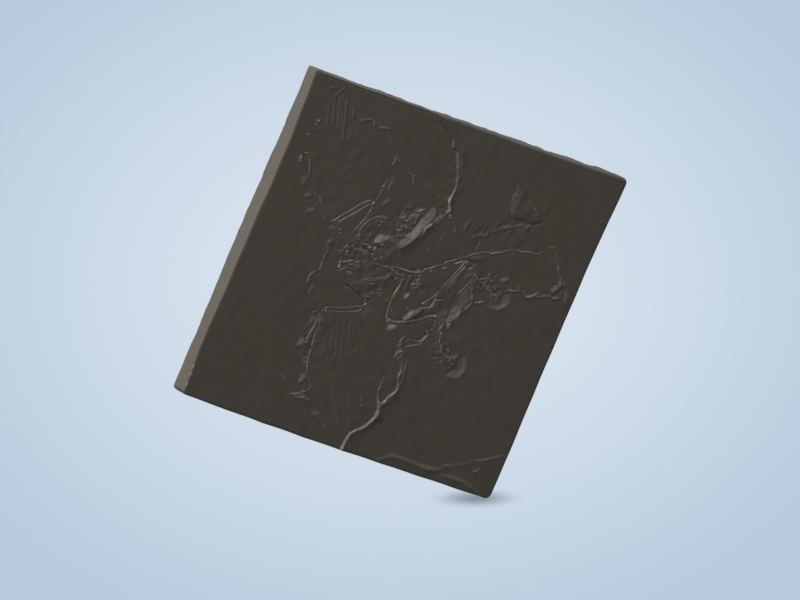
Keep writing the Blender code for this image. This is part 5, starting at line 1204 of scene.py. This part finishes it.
def makeFloor():
    bm = bmesh.new()
    bmesh.ops.create_grid(bm, x_segments=1, y_segments=1, size=studio["floorSize"] / 2)
    bmesh.ops.translate(bm, verts=bm.verts, vec=(0, 0, -studio["floorDrop"]))
    mesh = bpy.data.meshes.new("floor")
    bm.to_mesh(mesh)
    bm.free()
    material = bpy.data.materials.new("paleFloor")
    material.use_nodes = True
    tree = material.node_tree
    shader = tree.nodes["Principled BSDF"]
    spot = node(tree, "ShaderNodeTexCoord", -1300, 0)
    # a painted pool of light: the glow fades from the pool's middle colour to the colour outside it
    fade = node(tree, "ShaderNodeMapRange", -700, 0)
    fade.inputs["From Min"].default_value = studio["paintedPoolInner"]
    fade.inputs["From Max"].default_value = studio["paintedPoolOuter"]
    tree.links.new(distanceIn(tree, spot, studio["paintedLightPool"], 0), fade.inputs["Value"])
    tint = node(tree, "ShaderNodeMix", -450, 0, data_type="RGBA")
    tint.inputs["A"].default_value = (*studio["poolMiddleColour"], 1)
    tint.inputs["B"].default_value = (*studio["poolOutsideColour"], 1)
    tree.links.new(fade.outputs["Result"], tint.inputs["Factor"])
    # a painted shadow: the glow is darkened in an oval under the near corner
    paintedShadow = node(tree, "ShaderNodeMapRange", -700, -300, interpolation_type="SMOOTHSTEP")
    paintedShadow.inputs["To Min"].default_value = studio["paintedShadowDepth"]
    tree.links.new(distanceIn(tree, spot, studio["paintedCornerShadow"], -300), paintedShadow.inputs["Value"])
    toned = node(tree, "ShaderNodeVectorMath", -200, 0, operation="SCALE")
    tree.links.new(tint.outputs["Result"], toned.inputs[0])
    tree.links.new(paintedShadow.outputs["Result"], toned.inputs["Scale"])
    tree.links.new(toned.outputs["Vector"], shader.inputs["Emission Color"])
    shader.inputs["Emission Strength"].default_value = studio["floorGlow"]
    shader.inputs["Base Color"].default_value = (*studio["floorBase"], 1)
    shader.inputs["Roughness"].default_value = 1.0
    shader.inputs["Specular IOR Level"].default_value = 0.0
    mesh.materials.append(material)
    floor = bpy.data.objects.new("floor", mesh)
    bpy.context.scene.collection.objects.link(floor)
    return floor


def makeLight(floor):
    world = bpy.data.worlds.new("softSky")
    world.use_nodes = True
    world.node_tree.nodes["Background"].inputs["Color"].default_value = (*studio["skyColour"], 1)
    world.node_tree.nodes["Background"].inputs["Strength"].default_value = studio["skyStrength"]
    bpy.context.scene.world = world
    bpy.context.scene.view_settings.view_transform = "Standard"
    light = bpy.data.lights.new("lowKey", "SUN")
    light.energy = studio["keyStrength"]
    light.angle = math.radians(studio["keyAngle"])
    key = bpy.data.objects.new("lowKey", light)
    turn, rise = math.radians(studio["keyTurn"]), math.radians(studio["keyRise"])
    towards = Vector((math.cos(turn) * math.cos(rise), math.sin(turn) * math.cos(rise), math.sin(rise)))
    key.rotation_euler = towards.to_track_quat("Z", "Y").to_euler()
    bpy.context.scene.collection.objects.link(key)
    lit = bpy.data.collections.new("litByKey")
    lit.objects.link(slabPiece)
    key.light_linking.receiver_collection = lit
    shading = bpy.data.collections.new("shadedByKey")  # the low light throws no long shadows over the face
    shading.objects.link(floor)
    key.light_linking.blocker_collection = shading


# A long lens, because the photo shows no taper
view = {
    "right": (0.72324, 0.39306, 0.56782), "up": (-0.25195, 0.91573, -0.31298),  # directions of the picture
    "lens": 1000, "sensorWidth": 36, "farthest": 200,
    "pixelsPerMetre": 926.8, "pictureWidth": 800,
    "aimLeft": 4.42, "aimDown": 13.3,  # pixels from the middle of the face to the middle of the picture
}


def makeCamera():
    data = bpy.data.cameras.new("camera")
    data.lens, data.sensor_width = view["lens"], view["sensorWidth"]
    data.clip_end = view["farthest"]
    right, up = Vector(view["right"]).normalized(), Vector(view["up"]).normalized()
    back = right.cross(up).normalized()
    up = back.cross(right)
    perPixel = 1 / view["pixelsPerMetre"]
    middle = Vector((0, 0, slab["faceLevel"] * mm))
    aim = middle - right * view["aimLeft"] * perPixel - up * view["aimDown"] * perPixel
    camera = bpy.data.objects.new("camera", data)
    turned = Matrix((right, up, back)).transposed().to_4x4()
    turned.translation = aim + back * view["pictureWidth"] * view["lens"] / view["sensorWidth"] * perPixel
    camera.matrix_world = turned
    bpy.context.scene.collection.objects.link(camera)
    bpy.context.scene.camera = camera


makeLight(makeFloor())
makeCamera()
print("stage, light and camera are set")

bpy.context.view_layer.update()
